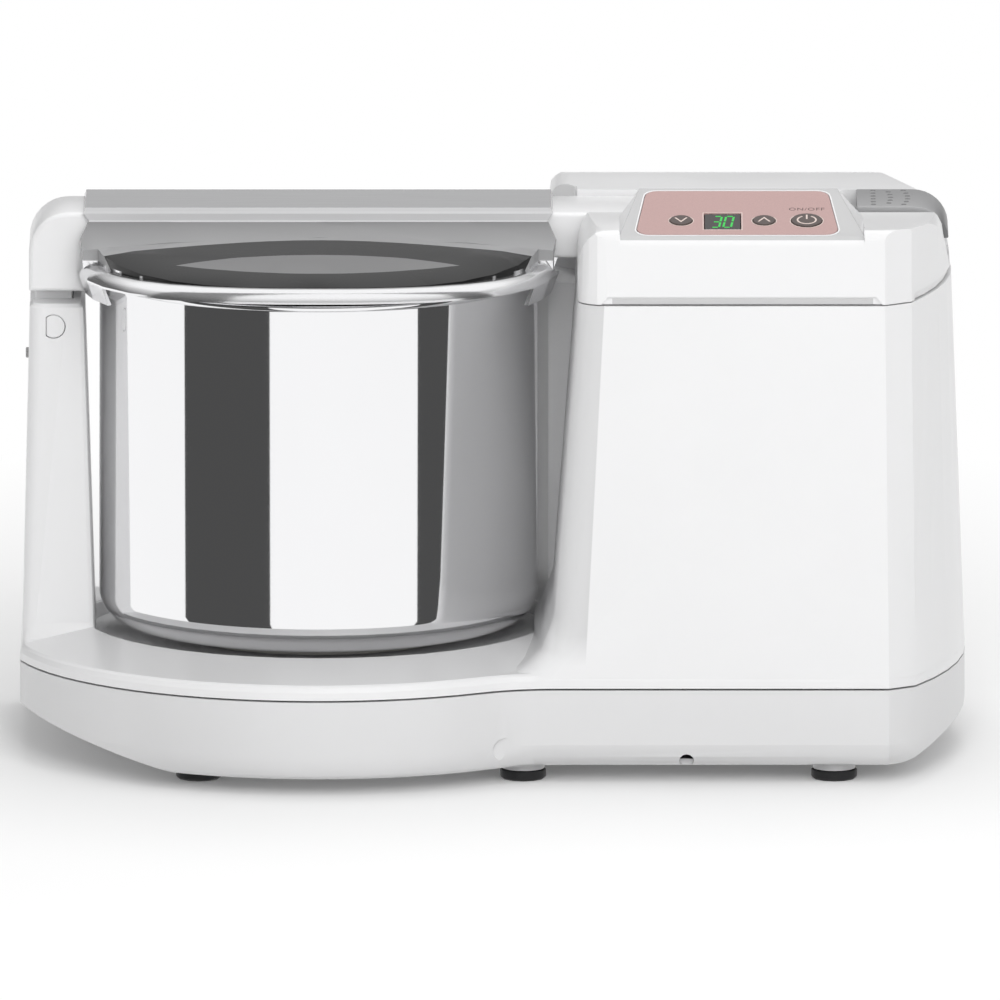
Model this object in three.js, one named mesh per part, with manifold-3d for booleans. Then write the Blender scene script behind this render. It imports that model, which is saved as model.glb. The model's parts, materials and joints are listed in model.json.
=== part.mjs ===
// Tabletop wet grinder: a steel drum on a belt drive, two conical stones in it, an arm that swings
// up from a hinged post, a lid over the arm, and a motor tower with a sloping control panel.
// Millimetres. +X points to the tower, +Y to the back, +Z up. Pieces are drawn about the drum's
// axis, with Z = 0 on the table, and the finished group is moved to stand about its own middle.
import * as THREE from "three";
import { mergeVertices } from "three/addons/utils/BufferGeometryUtils.js";
import Module from "manifold-3d";

const wasm = await Module();
wasm.setup();

// Clearances
const seat = 0.3; // between pieces that rest on or in each other
const run = 0.6; // between pieces that turn past each other
const overrun = 5; // how far a cutting body passes the face that it cuts

// Facets round a full turn
const fineTurn = 40;
const turn = 20;
const smallTurn = 12;

// Plan, measured from the drum's axis: drum, post and body follow from the drum's radius
const drumRadius = 100;
const drumToPost = 1.6;
const postInner = drumRadius + drumToPost;
const postWidth = 33.3;
const postLeft = postInner + postWidth;
const postInset = 0.6;
const leftReach = postLeft + postInset;
const leftFlat = 5;
const bulgeRadius = leftReach + leftFlat;
const towerFront = 110;
const blendRadius = 62;
const drumToTower = 5.3;
const towerLeftAtRim = drumRadius + drumToTower;
const towerWidth = 188.7;
const rightReach = towerLeftAtRim + towerWidth;
const sideRadius = 231;
const chamferWidth = 12;
const chamferDepth = 9;
const bodyBack = 112;
const backCornerRadius = 16;
const wall = 3.2;

// Heights above the table
const padHeight = 4.6;
const panBottom = 8.9;
const seamHeight = 45;
const seamGap = 0.9;
const creaseRise = 5.4;
const creaseHeight = seamHeight + creaseRise;
const ledgeRise = 8.9;
const rimHeight = creaseHeight + ledgeRise;
const towerRise = 175;
const towerTop = seamHeight + towerRise;
const postDrop = 12.2;
const postTop = towerTop - postDrop;

// Slopes of the moulded walls, as run over rise
const frontDraftShare = 0.055;
const sideDraftShare = 0.037;
const leftDraftShare = 0.076;
const backDraftShare = 0.02;
const postLeftDraftShare = 0.024;
const postInnerDraftShare = 0.031;
const postFaceDraftShare = 0.017;

// Base pan
const panEdgeRadius = 11;
const panEdgeShares = [0, 0.15, 0.5, 1];
const panLeftSlopeShare = 0.25;
const panLeftSlopeInset = 69.5;
const panLeftSlopeStart = leftReach - panLeftSlopeInset;
const panRightSlopeShare = 0.42;
const panRightSlopeInset = 31;
const panRightSlopeStart = rightReach - panRightSlopeInset;
const pocketRadius = 5.4;
const pocketX = 84.5;
const pocketHeight = 18.5;
const smallPocketRadius = 3.4;
const smallPocketX = 167;
const pocketDepth = 9;
const pocketReach = 27;
const ventWidth = 3;
const ventLength = 34;
const ventPitch = 7;
const ventCount = 8;

// Feet
const footRadius = 10.4;
const footStubRadius = 9.6;
const footSoftness = 0.9;
const leftFootX = -54;
const middleFootX = 93;
const rightFootInset = 60;
const footFront = 84;
const footBack = 82;

// Ledge and recess round the drum
const ledgeInset = 3;
const ledgeRadius = bulgeRadius - ledgeInset;
const recessClearance = 5.6;
const recessRadius = drumRadius + recessClearance;
const recessDepth = 6.7;
const recessFloor = rimHeight - recessDepth;
const deckThickness = 3.4;
const scoopInset = 2;
const scoopRadius = recessRadius + scoopInset;

// Tower
const towerCornerRadius = 13;
const towerFlareRadius = 27;
const towerFlareShares = [0, 0.05, 0.18, 0.45, 1];
const towerBackCornerRadius = 9;
const shoulderLeft = 78;
const shoulderDrop = 11;
const shoulderTop = towerTop - shoulderDrop;
const shoulderFront = 24;
const shoulderStep = 36;
const riserAngle = Math.PI / 4.5;
const coverEndAngle = Math.PI / 9;

// Left post
const postHalfDepth = 28.6;
const postOuterCorner = 6;
const postInnerCorner = 2.4;
const postFlareRadius = 11;
const postFlareShares = [0, 0.08, 0.35, 1];

// Arm
const pinInset = 15.3;
const pinX = pinInset - leftReach;
const pinDrop = 10.3;
const pinHeight = postTop - pinDrop;
const pinRadius = 3;
const plugRadius = 5.3;
const plugDepth = 3;
const plugFlatShare = 0.62;
const armInset = 4.2;
const armLeft = armInset - leftReach;
const capOverhang = 4.1;
const armCapRight = -postInner - capOverhang;
const capGap = 5.4;
const armCapBottom = postTop + capGap;
const armRise = 8.6;
const armBottom = towerTop + armRise;
const armHeight = 20.8;
const armTop = armBottom + armHeight;
const postFaceMargin = 5.1;
const armHalfDepth = postHalfDepth - postFaceMargin;
const armCornerRadius = 18;
const armEdgeRadius = 2.2;
const armInnerRadius = 8;
const armSwingShare = 0.16; // how much the knuckle's neck dips past level at the end of its swing
const forkSink = 4;
const forkCheek = 3;
const knuckleRadius = 8.4;
const knuckleHalfDepth = 9.6;
const bumperDrop = 16.5;
const bumperHeight = pinHeight - bumperDrop;
const bumperRadius = 2.4;
const bumperReach = 1.4;
const bumperDepth = 2.8;

// Drum
const drumWall = 1.3;
const drumLift = 5.7;
const drumBottom = recessFloor + drumLift;
const drumRise = 1;
const drumTop = towerTop + drumRise;
const drumCornerRadius = 15;
const beadRadius = 2;
const drumHole = 9;

// Lid
const lidOverhang = 13;
const lidRadius = drumRadius + lidOverhang;
const lidSquareness = 2.7; // exponent of the plan's curve: 2 would be a circle
const lidAcrossShare = 0.98; // the lid is a little narrower across than from front to back
const lidClearance = 2.4;
const lidScoopRadius = lidRadius + lidClearance;
const lidGap = 2;
const lidRingBottom = drumTop + lidGap;
const lidRingHeight = 6.2;
const lidRingTop = lidRingBottom + lidRingHeight;
const lidRingStart = 0.15;
const lidRingWidth = 7.6;
const lidPlateRadius = lidRadius - lidRingWidth;
const lidWall = 2.3;
const lidTabHeight = 8.4;
const lidTabBottom = lidRingBottom - lidTabHeight;
const lidTabLean = 3;
const lidTabHalfAngle = 0.62;
const ridgeTop = armTop + lidWall + seat;
const ridgeWallHeight = 5.8;
const ridgeWallBottom = ridgeTop - ridgeWallHeight;
const lidDomeDrop = 2.8;
const lidDomeTop = ridgeWallBottom - lidDomeDrop;
const lidDomeFall = 14;
const lidDomeShares = [1.3, 1, 0.7, 0.35];
const lidDomeStretchShare = 1.55;
const ridgeMargin = 3;
const ridgeHalfDepth = armHalfDepth + ridgeMargin;
const ridgeSkirt = 14.5;
const ridgeFootHalfDepth = ridgeHalfDepth + ridgeSkirt;
const ridgeEndInset = 1.2;
const ridgeInset = 9;
const ridgeHalfLength = lidRadius - ridgeInset;
const ridgeEdgeRadius = 2.4;
const ridgeShares = [-1, -0.6, 0, 0.6, 1];

// Top cover
const coverGap = 0.6;
const coverRise = 34.4;
const coverFrontTop = towerTop + coverRise;
const coverFall = 4.2;
const coverInnerTop = coverFrontTop - coverFall;
const coverRearStep = 1.4;
const coverRearTop = coverInnerTop + coverRearStep;
const coverEdgeRadius = 4.4;
const coverShoulderRun = 12;
const coverShoulderDrop = 20;
const coverRearLeft = towerLeftAtRim;
const coverRearSoftness = 12;
const coverRearKnee = 70;
const coverRearDrop = 18;
const coverRearShares = [1, 0.7, 0.35, 0];
const coverSideLean = 4;
const coverRightRun = 13.5;
const rearChamferInset = 21.5;
const rearChamferAngle = 0.34;
const coverWall = 3;
const slotMargin = 2.5;
const slotHalfDepth = armHalfDepth + slotMargin;
const slotFloor = armBottom - seat;
const grooveHeight = 3.6;
const grooveDepth = 1.6;

// Panel pod on the cover
const podFrontY = -97.2;
const podBackY = -46;
const podSink = 3.2;
const podFrontTop = coverFrontTop - podSink;
const podRise = 13.4;
const podBackTop = podFrontTop + podRise;
const podDepth = 13.2;
const podFloor = podFrontTop - podDepth;
const podLeftInset = 31;
const podFrontLeft = towerLeftAtRim + podLeftInset;
const podRightInset = 46.5;
const podFrontRight = rightReach - podRightInset;
const podLeftTaper = 8.7;
const podBackLeft = podFrontLeft + podLeftTaper;
const podRightTaper = 11.5;
const podBackRight = podFrontRight - podRightTaper;
const podSoftness = 2;
const podGrooveMargin = 5;
const panelPocketDepth = 12;
const switchRadius = 2.2;

// Control panel, keys and display, measured along the sloping face from its front edge
const panelThickness = 1.2;
const panelLeftMargin = 8.1;
const panelLeft = podFrontLeft + panelLeftMargin;
const panelRightMargin = 12.2;
const panelRight = podFrontRight - panelRightMargin;
const panelNear = 2.4;
const panelLength = 47.2;
const panelFar = panelNear + panelLength;
const panelTaper = 3.8;
const panelCornerRadius = 6;
const keyHeight = 17.2;
const keyRadius = 5.2;
const powerRadius = 7.1;
const keyMargin = 20;
const downKeyX = panelLeft + keyMargin;
const keyToWindow = 10.4;
const windowLeft = downKeyX + keyToWindow;
const windowWidth = 16.8;
const windowRight = windowLeft + windowWidth;
const upKeyX = windowRight + keyToWindow;
const powerKeyX = panelRight - panelCornerRadius - powerRadius - run - seat;
const windowLength = 17.6;
const windowNear = keyHeight - windowLength / 2 - run;
const windowFar = windowNear + windowLength;
const keyThickness = 2.6;
const keyRise = 0.9;
const keySoftness = 0.3;
const keyTravel = 0.7;
const boardThickness = 1.6;

// Latch lever
const latchInset = 7.8;
const latchRight = rightReach - latchInset;
const latchLength = 41.8;
const latchLeft = latchRight - latchLength;
const latchRise = 3;
const latchTop = armTop + latchRise;
const latchTipDrop = 14.6;
const latchTipBottom = latchTop - latchTipDrop;
const latchThickness = 4.2;
const latchSoftness = 1;
const latchBend = 16;
const latchHalfDepth = armHalfDepth - seat;
const latchPinInset = 6.1;
const latchPinX = latchLeft + latchPinInset;
const latchPinDrop = 8.8;
const latchPinHeight = latchTop - latchPinDrop;
const latchPinRadius = 1.6;
const latchEyeRadius = 3.8;
const latchWebWidth = 12;
const latchHookReach = 8.1;
const latchHookThickness = 3;
const latchHookLeft = latchPinX - latchHookReach;
const strikeThickness = 2.4;
const strikeReach = 2.1;
const strikeLength = 6.3;
const strikeRise = 2.4;
const strikeHeight = armBottom + strikeRise;
const hookGap = 1.7;
const armRight = latchHookLeft - strikeReach - hookGap;
const latchHookBottom = strikeHeight + run;
const fingerRadius = 8;

// Stones and what holds them
const bedThickness = 21.7;
const bedTop = drumBottom + bedThickness;
const bedMargin = 8;
const bedRadius = drumRadius - bedMargin;
const bedEdge = 2;
const centrePinRadius = 6;
const centrePinLength = 52;
const centrePinTop = bedTop + centrePinLength;
const coneAngle = Math.PI / 6;
const coneInner = 25;
const coneMargin = 16;
const coneOuter = drumRadius - coneMargin;
const coneBore = 4.4;
const axleRadius = 3.8;
const axleNutRadius = 8;
const axleNutLength = 6;
const holderRadius = 9.6;
const holderLift = 2;
const holderBottom = bedTop + holderLift;
const holderDrop = 5;
const holderTop = drumTop - holderDrop;
const holderHeadWidth = 20;
const holderHeadDepth = 10;
const holderHeadHeight = 12;
const wiperRise = 88;
const wiperHeight = bedTop + wiperRise;
const wiperThickness = 2.6;
const wiperWidth = 22;
const wiperTongueWidth = 5.5;
const wiperToeHeight = 15.3;
const strapWidth = 11;

// Drive under the drum
const drivenRadius = 60;
const motorPulleyRadius = 12;
const housingTubeLength = 11.9;
const housingTubeBottom = recessFloor - deckThickness - seat - housingTubeLength;
const pulleyGap = 2;
const pulleyTop = housingTubeBottom - pulleyGap;
const pulleyHeight = 12;
const pulleyBottom = pulleyTop - pulleyHeight;
const pulleyFlange = 2.4;
const pulleyWeb = 4;
const beltThickness = 3;
const beltWidth = 8;
const spindleRadius = 8;
const shaftOverhang = 3.5;
const spindleBottom = pulleyBottom - shaftOverhang;
const drivenHubRadius = 16;
const dogRadius = 24;
const driveRingRadius = 66;
const driveRingTaper = 6.4;
const bearingOuter = 14;
const bearingHeight = 5.4;
const housingTubeRadius = 18;
const housingFlangeRadius = 30;
const housingFlangeHeight = 3.4;

// Motor
const motorInset = 89;
const motorX = rightReach - motorInset;
const statorRadius = 58;
const statorHalf = 45;
const statorBore = 27;
const rotorRadius = 26.3;
const stackRise = 43;
const stackBottom = seamHeight + stackRise;
const stackHeight = 50;
const stackTop = stackBottom + stackHeight;
const windingHeight = 13;
const windingOuter = 41;
const windingInner = 29.5;
const windingSoftness = 3.2;
const frameHeight = 5;
const frameHalf = 52;
const frameBore = 10;
const shaftRadius = 5;
const motorHubRadius = 10;
const shaftRise = 38;
const shaftTop = stackTop + shaftRise;
const shaftBottom = pulleyBottom - shaftOverhang;
const bossInset = 7;
const bossRadius = 5;
const fanRadius = 38;
const fanHeight = 12;
const fanBlades = 9;
const fanBladeThickness = 1.6;
const fanHubRadius = 10;
const fanBladeStart = 7.8;

// Cord inlet at the back
const glandRadius = 7;
const glandBore = 3.6;
const glandFlange = 1.6;
const glandInset = 54;
const glandX = rightReach - glandInset;
const glandHeight = 27;
const glandLip = 1.5;

// A geometry as a solid that can be joined and cut. Triangles that fold to a line are left out.
function solidFrom(geometry) {
  const bare = geometry.index ? geometry.toNonIndexed() : geometry.clone();
  bare.deleteAttribute("normal");
  bare.deleteAttribute("uv");
  const merged = mergeVertices(bare, 1e-4);
  const index = merged.index.array;
  const kept = [];
  for (let i = 0; i < index.length; i += 3) {
    const [a, b, c] = [index[i], index[i + 1], index[i + 2]];
    if (a !== b && b !== c && c !== a) kept.push(a, b, c);
  }
  const vertProperties = merged.attributes.position.array;
  const triVerts = new Uint32Array(kept);
  return new wasm.Manifold(new wasm.Mesh({ numProp: 3, vertProperties, triVerts }));
}

function geometryFrom(solid) {
  const mesh = solid.getMesh();
  const geometry = new THREE.BufferGeometry();
  const position = new THREE.Float32BufferAttribute(mesh.vertProperties, mesh.numProp);
  geometry.setAttribute("position", position);
  geometry.setIndex(Array.from(mesh.triVerts));
  return geometry;
}

function join(...geometries) {
  return geometryFrom(geometries.map(solidFrom).reduce((all, next) => all.add(next)));
}

function cut(geometry, ...tools) {
  return geometryFrom(tools.map(solidFrom).reduce((left, tool) => left.subtract(tool), solidFrom(geometry)));
}

function common(...geometries) {
  return geometryFrom(geometries.map(solidFrom).reduce((all, next) => all.intersect(next)));
}

// A block from its least corner to its greatest.
function block(x0, x1, y0, y1, z0, z1) {
  const box = new THREE.BoxGeometry(x1 - x0, y1 - y0, z1 - z0);
  return box.translate((x0 + x1) / 2, (y0 + y1) / 2, (z0 + z1) / 2);
}

// A round bar standing on the height z0.
function upright(radius, z0, z1, x = 0, y = 0, steps = turn) {
  const bar = new THREE.CylinderGeometry(radius, radius, z1 - z0, steps);
  return bar.rotateX(Math.PI / 2).translate(x, y, (z0 + z1) / 2);
}

// A round bar lying along Y.
function lying(radius, y0, y1, x, z, steps = smallTurn) {
  const bar = new THREE.CylinderGeometry(radius, radius, y1 - y0, steps);
  return bar.translate(x, (y0 + y1) / 2, z);
}

// A profile of [radius, height] pairs, listed up its outer side, turned about the Z axis.
function turned(profile, steps = turn) {
  const points = profile.map(([r, z]) => new THREE.Vector2(r, z));
  points.push(points[0].clone());
  return new THREE.LatheGeometry(points, steps).rotateX(Math.PI / 2);
}

// A quarter round between two directions, as [along, up] pairs about a centre.
function arcPoints(cx, cz, radius, from, to, steps) {
  const points = [];
  for (let i = 0; i <= steps; i += 1) {
    const angle = from + ((to - from) * i) / steps;
    points.push([cx + radius * Math.cos(angle), cz + radius * Math.sin(angle)]);
  }
  return points;
}

function shapeFrom(pairs) {
  return new THREE.Shape(pairs.map(([a, b]) => new THREE.Vector2(a, b)));
}

// An outline of [x, z] pairs drawn out along Y.
function alongY(pairs, y0, y1, edge = 0) {
  const options = { depth: y1 - y0 - 2 * edge, bevelEnabled: edge > 0, bevelThickness: edge };
  Object.assign(options, { bevelSize: edge, bevelOffset: -edge, bevelSegments: 3, steps: 1 });
  const body = new THREE.ExtrudeGeometry(shapeFrom(pairs), options);
  return body.rotateX(Math.PI / 2).translate(0, y1 - edge, 0);
}

// An outline of [y, z] pairs drawn out along X.
function alongX(pairs, x0, x1) {
  const body = new THREE.ExtrudeGeometry(shapeFrom(pairs), { depth: x1 - x0, bevelEnabled: false });
  return body.rotateX(Math.PI / 2).rotateZ(Math.PI / 2).translate(x0, 0, 0);
}

// An outline of [x, y] pairs drawn up from z0 to z1.
function upward(pairs, z0, z1) {
  const body = new THREE.ExtrudeGeometry(shapeFrom(pairs), { depth: z1 - z0, bevelEnabled: false });
  return body.translate(0, 0, z0);
}

// One closed skin over outlines of equal point count, given from the lowest to the highest.
function loft(sections) {
  const count = sections[0].outline.length;
  const position = [];
  for (const { z, outline } of sections) outline.forEach(([x, y]) => position.push(x, y, z));
  const index = [];
  for (let level = 0; level < sections.length - 1; level += 1) {
    for (let i = 0; i < count; i += 1) {
      const a = level * count + i;
      const b = level * count + ((i + 1) % count);
      index.push(a, b, b + count, a, b + count, a + count);
    }
  }
  const capOf = (outline) => {
    const contour = outline.map(([x, y]) => new THREE.Vector2(x, y));
    return THREE.ShapeUtils.triangulateShape(contour, []);
  };
  const last = (sections.length - 1) * count;
  for (const [a, b, c] of capOf(sections[0].outline)) index.push(c, b, a);
  for (const [a, b, c] of capOf(sections[sections.length - 1].outline)) {
    index.push(a + last, b + last, c + last);
  }
  const geometry = new THREE.BufferGeometry();
  geometry.setAttribute("position", new THREE.Float32BufferAttribute(position, 3));
  geometry.setIndex(index);
  return geometry;
}

// The right end of the body seen from above: front line, chamfer, long bow, chamfer, back line.
function rightEnd(front, back, inset) {
  const centre = rightReach - inset - sideRadius;
  const startAngle = -Math.asin((front - chamferDepth) / sideRadius);
  const endAngle = Math.asin((back - chamferDepth) / sideRadius);
  const bow = arcPoints(centre, 0, sideRadius, startAngle, endAngle, 10);
  const first = bow[0];
  const last = bow[bow.length - 1];
  return [[first[0] - chamferWidth, -front], ...bow, [last[0] - chamferWidth, back]];
}

// The whole body seen from above, anticlockwise from the left: bulge round the drum, hollow blend,
// front of the tower, right end, back. An inset draws every side in.
function bodyPlan({ inset = 0, frontInset = inset }) {
  const left = leftReach - inset;
  const radius = bulgeRadius - inset;
  const front = towerFront - frontInset;
  const blend = blendRadius + inset;
  const blendX = Math.sqrt((radius + blend) ** 2 - (front + blend) ** 2);
  const startAngle = Math.PI + Math.acos(left / radius);
  const endAngle = 2 * Math.PI - Math.atan2(front + blend, blendX);
  const bulge = arcPoints(0, 0, radius, startAngle, endAngle, 22);
  const hollow = arcPoints(blendX, -front - blend, blend, endAngle - Math.PI, Math.PI / 2, 6);
  const back = bodyBack - frontInset;
  const corner = backCornerRadius;
  const rounded = arcPoints(corner - left, back - corner, corner, Math.PI / 2, Math.PI, 5);
  return [...bulge, ...hollow.slice(1), ...rightEnd(front, back, inset), ...rounded];
}

// How far a hollow fillet at the foot of a wall stands out at a height above its start.
function flare(radius, rise) {
  const left = Math.max(radius - rise, 0);
  return radius - Math.sqrt(radius ** 2 - left ** 2);
}

// The tower seen from above at one height. Walls lean in as they rise, the left one with a wide
// fillet at its foot, and its front corner is soft.
function towerPlan(z, inset = 0, filleted = true) {
  const rise = z - seamHeight;
  const foot = filleted ? flare(towerFlareRadius, z - creaseHeight) : 0;
  const left = towerLeftAtRim + (z - rimHeight) * leftDraftShare - foot + inset;
  const front = towerFront - rise * frontDraftShare - inset;
  const back = bodyBack - rise * backDraftShare - inset;
  const corner = Math.max(towerCornerRadius - inset, wall);
  const frontArc = arcPoints(left + corner, corner - front, corner, Math.PI, 1.5 * Math.PI, 5);
  const rear = towerBackCornerRadius;
  const backArc = arcPoints(left + rear, back - rear, rear, Math.PI / 2, Math.PI, 4);
  return [...frontArc, ...rightEnd(front, back, rise * sideDraftShare + inset), ...backArc];
}

function levels(heights, outlineAt) {
  return loft(heights.map((z) => ({ z, outline: outlineAt(z) })));
}

// The post seen from above at one height, with a fillet at its foot on all sides but the left.
function postPlan(z, inset = 0, filleted = true) {
  const foot = filleted ? flare(postFlareRadius, z - creaseHeight) : 0;
  const left = (z - seamHeight) * postLeftDraftShare - postLeft + inset;
  const right = -postInner - (z - rimHeight) * postInnerDraftShare - inset;
  const half = postHalfDepth - (z - rimHeight) * postFaceDraftShare + foot - inset;
  const outer = postOuterCorner;
  const inner = postInnerCorner;
  return [
    ...arcPoints(left + outer, outer - half, outer, Math.PI, 1.5 * Math.PI, 4),
    ...arcPoints(right - inner, inner - half, inner, 1.5 * Math.PI, 2 * Math.PI, 2),
    ...arcPoints(right - inner, half - inner, inner, 0, Math.PI / 2, 2),
    ...arcPoints(left + outer, half - outer, outer, Math.PI / 2, Math.PI, 4),
  ];
}

// Places of the feet: three along the front, three along the back.
function footPlaces() {
  const sides = [["front", -footFront], ["rear", footBack]];
  const columns = [["left", leftFootX], ["middle", middleFootX], ["right", rightReach - rightFootInset]];
  return sides.flatMap(([side, y]) => columns.map(([column, x]) => ({ name: `${side}_${column}`, x, y })));
}

// Places of the four bosses that carry the motor.
function bossPlaces() {
  const reach = frameHalf - bossInset;
  return [[-1, -1], [1, -1], [1, 1], [-1, 1]].map(([i, j]) => [motorX + i * reach, j * reach]);
}

// Wedges that plane the underside away toward both ends.
function endChamfers() {
  const low = panBottom - overrun;
  const far = rightReach + overrun;
  const leftFar = leftReach + overrun;
  const leftRise = (leftFar - panLeftSlopeStart) * panLeftSlopeShare;
  const rightRise = (far - panRightSlopeStart) * panRightSlopeShare;
  const deep = bulgeRadius + overrun;
  const leftWedge = [[-leftFar, low], [-panLeftSlopeStart, low], [-panLeftSlopeStart, panBottom]];
  leftWedge.push([-leftFar, panBottom + leftRise]);
  const rightWedge = [[panRightSlopeStart, low], [far, low], [far, panBottom + rightRise]];
  rightWedge.push([panRightSlopeStart, panBottom]);
  return [alongY(leftWedge, -deep, deep), alongY(rightWedge, -deep, deep)];
}

// The pan: an open tray with rounded lower edges, planed ends, foot stubs, bosses for the motor,
// screw pockets in its front and air slots through its floor.
function basePan() {
  const edge = panEdgeRadius;
  const insetAt = (z) => flare(edge, z - panBottom);
  const heights = panEdgeShares.map((share) => panBottom + share * edge);
  const skin = levels([...heights, seamHeight], (z) => {
    return bodyPlan({ inset: insetAt(z) / 2, frontInset: insetAt(z) });
  });
  const hollowAt = (z) => bodyPlan({ inset: wall + insetAt(z) / 2, frontInset: wall + insetAt(z) });
  const hollow = levels([panBottom + wall, panBottom + edge, seamHeight + overrun], hollowAt);
  const [leftWedge, rightWedge] = endChamfers();
  const lifted = [leftWedge, rightWedge].map((wedge) => wedge.clone().translate(0, 0, wall));
  const front = -bulgeRadius;
  const pocket = lying(pocketRadius, front, front + pocketReach, pocketX, pocketHeight);
  const smallEnd = pocketDepth - towerFront;
  const smallPocket = lying(smallPocketRadius, front, smallEnd, smallPocketX, panBottom + wall);
  const shell = cut(skin, cut(hollow, ...lifted), leftWedge, rightWedge);
  const stubs = footPlaces().map(({ x, y }) => {
    return upright(footStubRadius, padHeight + seat, panBottom + wall, x, y);
  });
  const bosses = bossPlaces().map(([x, y]) => {
    return upright(bossRadius, panBottom + wall / 2, lowerFrameBottom() - seat, x, y, smallTurn);
  });
  return cut(join(shell, ...stubs, ...bosses), pocket, smallPocket, ...floorSlots(), glandHole());
}

// A row of air slots in the floor below the motor.
function floorSlots() {
  const slots = [];
  for (let i = 0; i < ventCount; i += 1) {
    const x = motorX + (i - (ventCount - 1) / 2) * ventPitch;
    const [left, right] = [x - ventWidth / 2, x + ventWidth / 2];
    const [low, high] = [panBottom - overrun, panBottom + 2 * wall];
    slots.push(block(left, right, -ventLength / 2, ventLength / 2, low, high));
  }
  return slots;
}

function glandHole() {
  return lying(glandRadius + seat, bodyBack - 3 * wall, bodyBack + overrun, glandX, glandHeight);
}

// The ledge that slopes from the rim of the recess to the crease near the edge, as a full disc.
function ledge() {
  const rim = recessRadius;
  return turned([[0, creaseHeight - wall], [ledgeRadius, creaseHeight - wall],
    [ledgeRadius, creaseHeight + edgeDrop()], [rim + edgeDrop(), rimHeight], [0, rimHeight]], fineTurn);
}

// The small rounding used along the ledge.
function edgeDrop() {
  return (rimHeight - creaseHeight) / 4;
}

// The moulding over the pan: skirt, ledge, tower and the wall that folds round behind the drum.
function housingShell() {
  const low = seamHeight + seamGap;
  const drop = edgeDrop();
  const skirt = loft([
    { z: low, outline: bodyPlan({}) },
    { z: creaseHeight - drop / 2, outline: bodyPlan({}) },
    { z: creaseHeight + drop / 2, outline: bodyPlan({ inset: drop / 3 }) },
    { z: creaseHeight + drop, outline: bodyPlan({ inset: drop }) },
  ]);
  const footprint = levels([low, rimHeight + overrun], () => bodyPlan({ inset: drop }));
  const foot = creaseHeight;
  const heights = towerFlareShares.map((share) => foot + share * towerFlareRadius);
  const tower = levels([...heights, towerTop], (z) => towerPlan(z));
  const back = bodyBack - wall;
  const shoulder = block(shoulderLeft, shoulderRight(), shoulderFront, back, foot, shoulderTop);
  const room = lidRoom(riserAngle, shoulderTop, towerTop + overrun);
  const riser = cut(block(shoulderLeft, shoulderRight(), shoulderStep, back, foot, towerTop), room);
  const scoop = upright(scoopRadius, rimHeight - seat, towerTop + overrun, 0, 0, fineTurn);
  return cut(join(skirt, common(ledge(), footprint), tower, shoulder, riser), cut(scoop, frontOfShoulder()));
}

// The room left for the lid, up to a flat wall that runs aslant behind it.
function lidRoom(angle, low, high) {
  const reach = lidScoopRadius * supportShare(angle);
  const half = 2 * lidScoopRadius;
  return block(-half, reach, -half, half, low, high).rotateZ(angle);
}

// How far the lid's squared plan reaches in a direction, as a share of its radius.
function supportShare(angle) {
  const exponent = lidSquareness / (lidSquareness - 1);
  return (Math.cos(angle) ** exponent + Math.sin(angle) ** exponent) ** (1 / exponent);
}

// The shoulder ends inside the tower's left wall.
function shoulderRight() {
  return towerLeftAtRim + towerCornerRadius + overrun;
}

// The part of the scoop in front of the shoulder, which leaves the tower's flat wall whole. It ends
// short of the shoulder's face, so that no film is left standing there.
function frontOfShoulder() {
  const far = scoopRadius + overrun;
  return block(-far, far, -far, shoulderFront - seat, rimHeight - overrun, towerTop + 2 * overrun);
}

// Room inside the tower and under the deck, open below.
function housingHollow() {
  const low = seamHeight - overrun;
  const under = levels([low, recessFloor - deckThickness], () => bodyPlan({ inset: wall }));
  const inside = levels([low, creaseHeight + towerFlareRadius, towerTop - wall], (z) => {
    return towerPlan(Math.max(z, seamHeight), wall, false);
  });
  return [under, inside];
}

// Air slots in the back wall of the tower.
function backSlots() {
  const slots = [];
  const middle = (towerTop + seamHeight) / 2;
  for (let i = 0; i < ventCount; i += 1) {
    const x = motorX + (i - (ventCount - 1) / 2) * ventPitch;
    const [left, right] = [x - ventWidth / 2, x + ventWidth / 2];
    const [low, high] = [middle - ventLength, middle + ventLength];
    slots.push(block(left, right, bodyBack - 2 * wall, bodyBack + overrun, low, high));
  }
  return slots;
}

// The post with its slot for the arm's knuckle, the pin's bore and the socket of its plug.
function leftPost() {
  const foot = creaseHeight;
  const heights = postFlareShares.map((share) => foot + share * postFlareRadius);
  const chamfer = wall / 2;
  const column = loft([...heights, postTop - chamfer, postTop].map((z) => {
    return { z, outline: postPlan(z, z === postTop ? chamfer : 0) };
  }));
  const half = knuckleHalfDepth + run;
  const round = knuckleRadius + run;
  const slotEye = lying(round, -half, half, pinX, pinHeight, turn);
  const slot = block(-postLeft - overrun, pinX + round, -half, half, pinHeight, postTop + overrun);
  const sweep = alongY(neckSweep(round), -half, half);
  const deep = postHalfDepth + overrun;
  const bore = lying(pinRadius + seat, plugDepth - postHalfDepth, postHalfDepth - plugDepth, pinX, pinHeight);
  const socket = plugOutline(plugRadius + seat);
  const front = alongY(socket, -deep, plugDepth - plugFace());
  return cut(column, slotEye, slot, sweep, bore, front);
}

// The room that the knuckle's neck sweeps through, with a floor that falls toward the left.
function neckSweep(round) {
  const left = -postLeft - overrun;
  const low = pinHeight - round;
  const fall = (pinX - left) * armSwingShare;
  return [[left, low - fall], [pinX, low], [pinX, postTop + overrun], [left, postTop + overrun]];
}

// The post's front face at the height of the pin.
function plugFace() {
  return postHalfDepth - (pinHeight - rimHeight) * postFaceDraftShare;
}

// A round plug with a flat on its left.
function plugOutline(radius) {
  const open = Math.acos(-plugFlatShare);
  return arcPoints(pinX, pinHeight, radius, -open, open, smallTurn);
}

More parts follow.
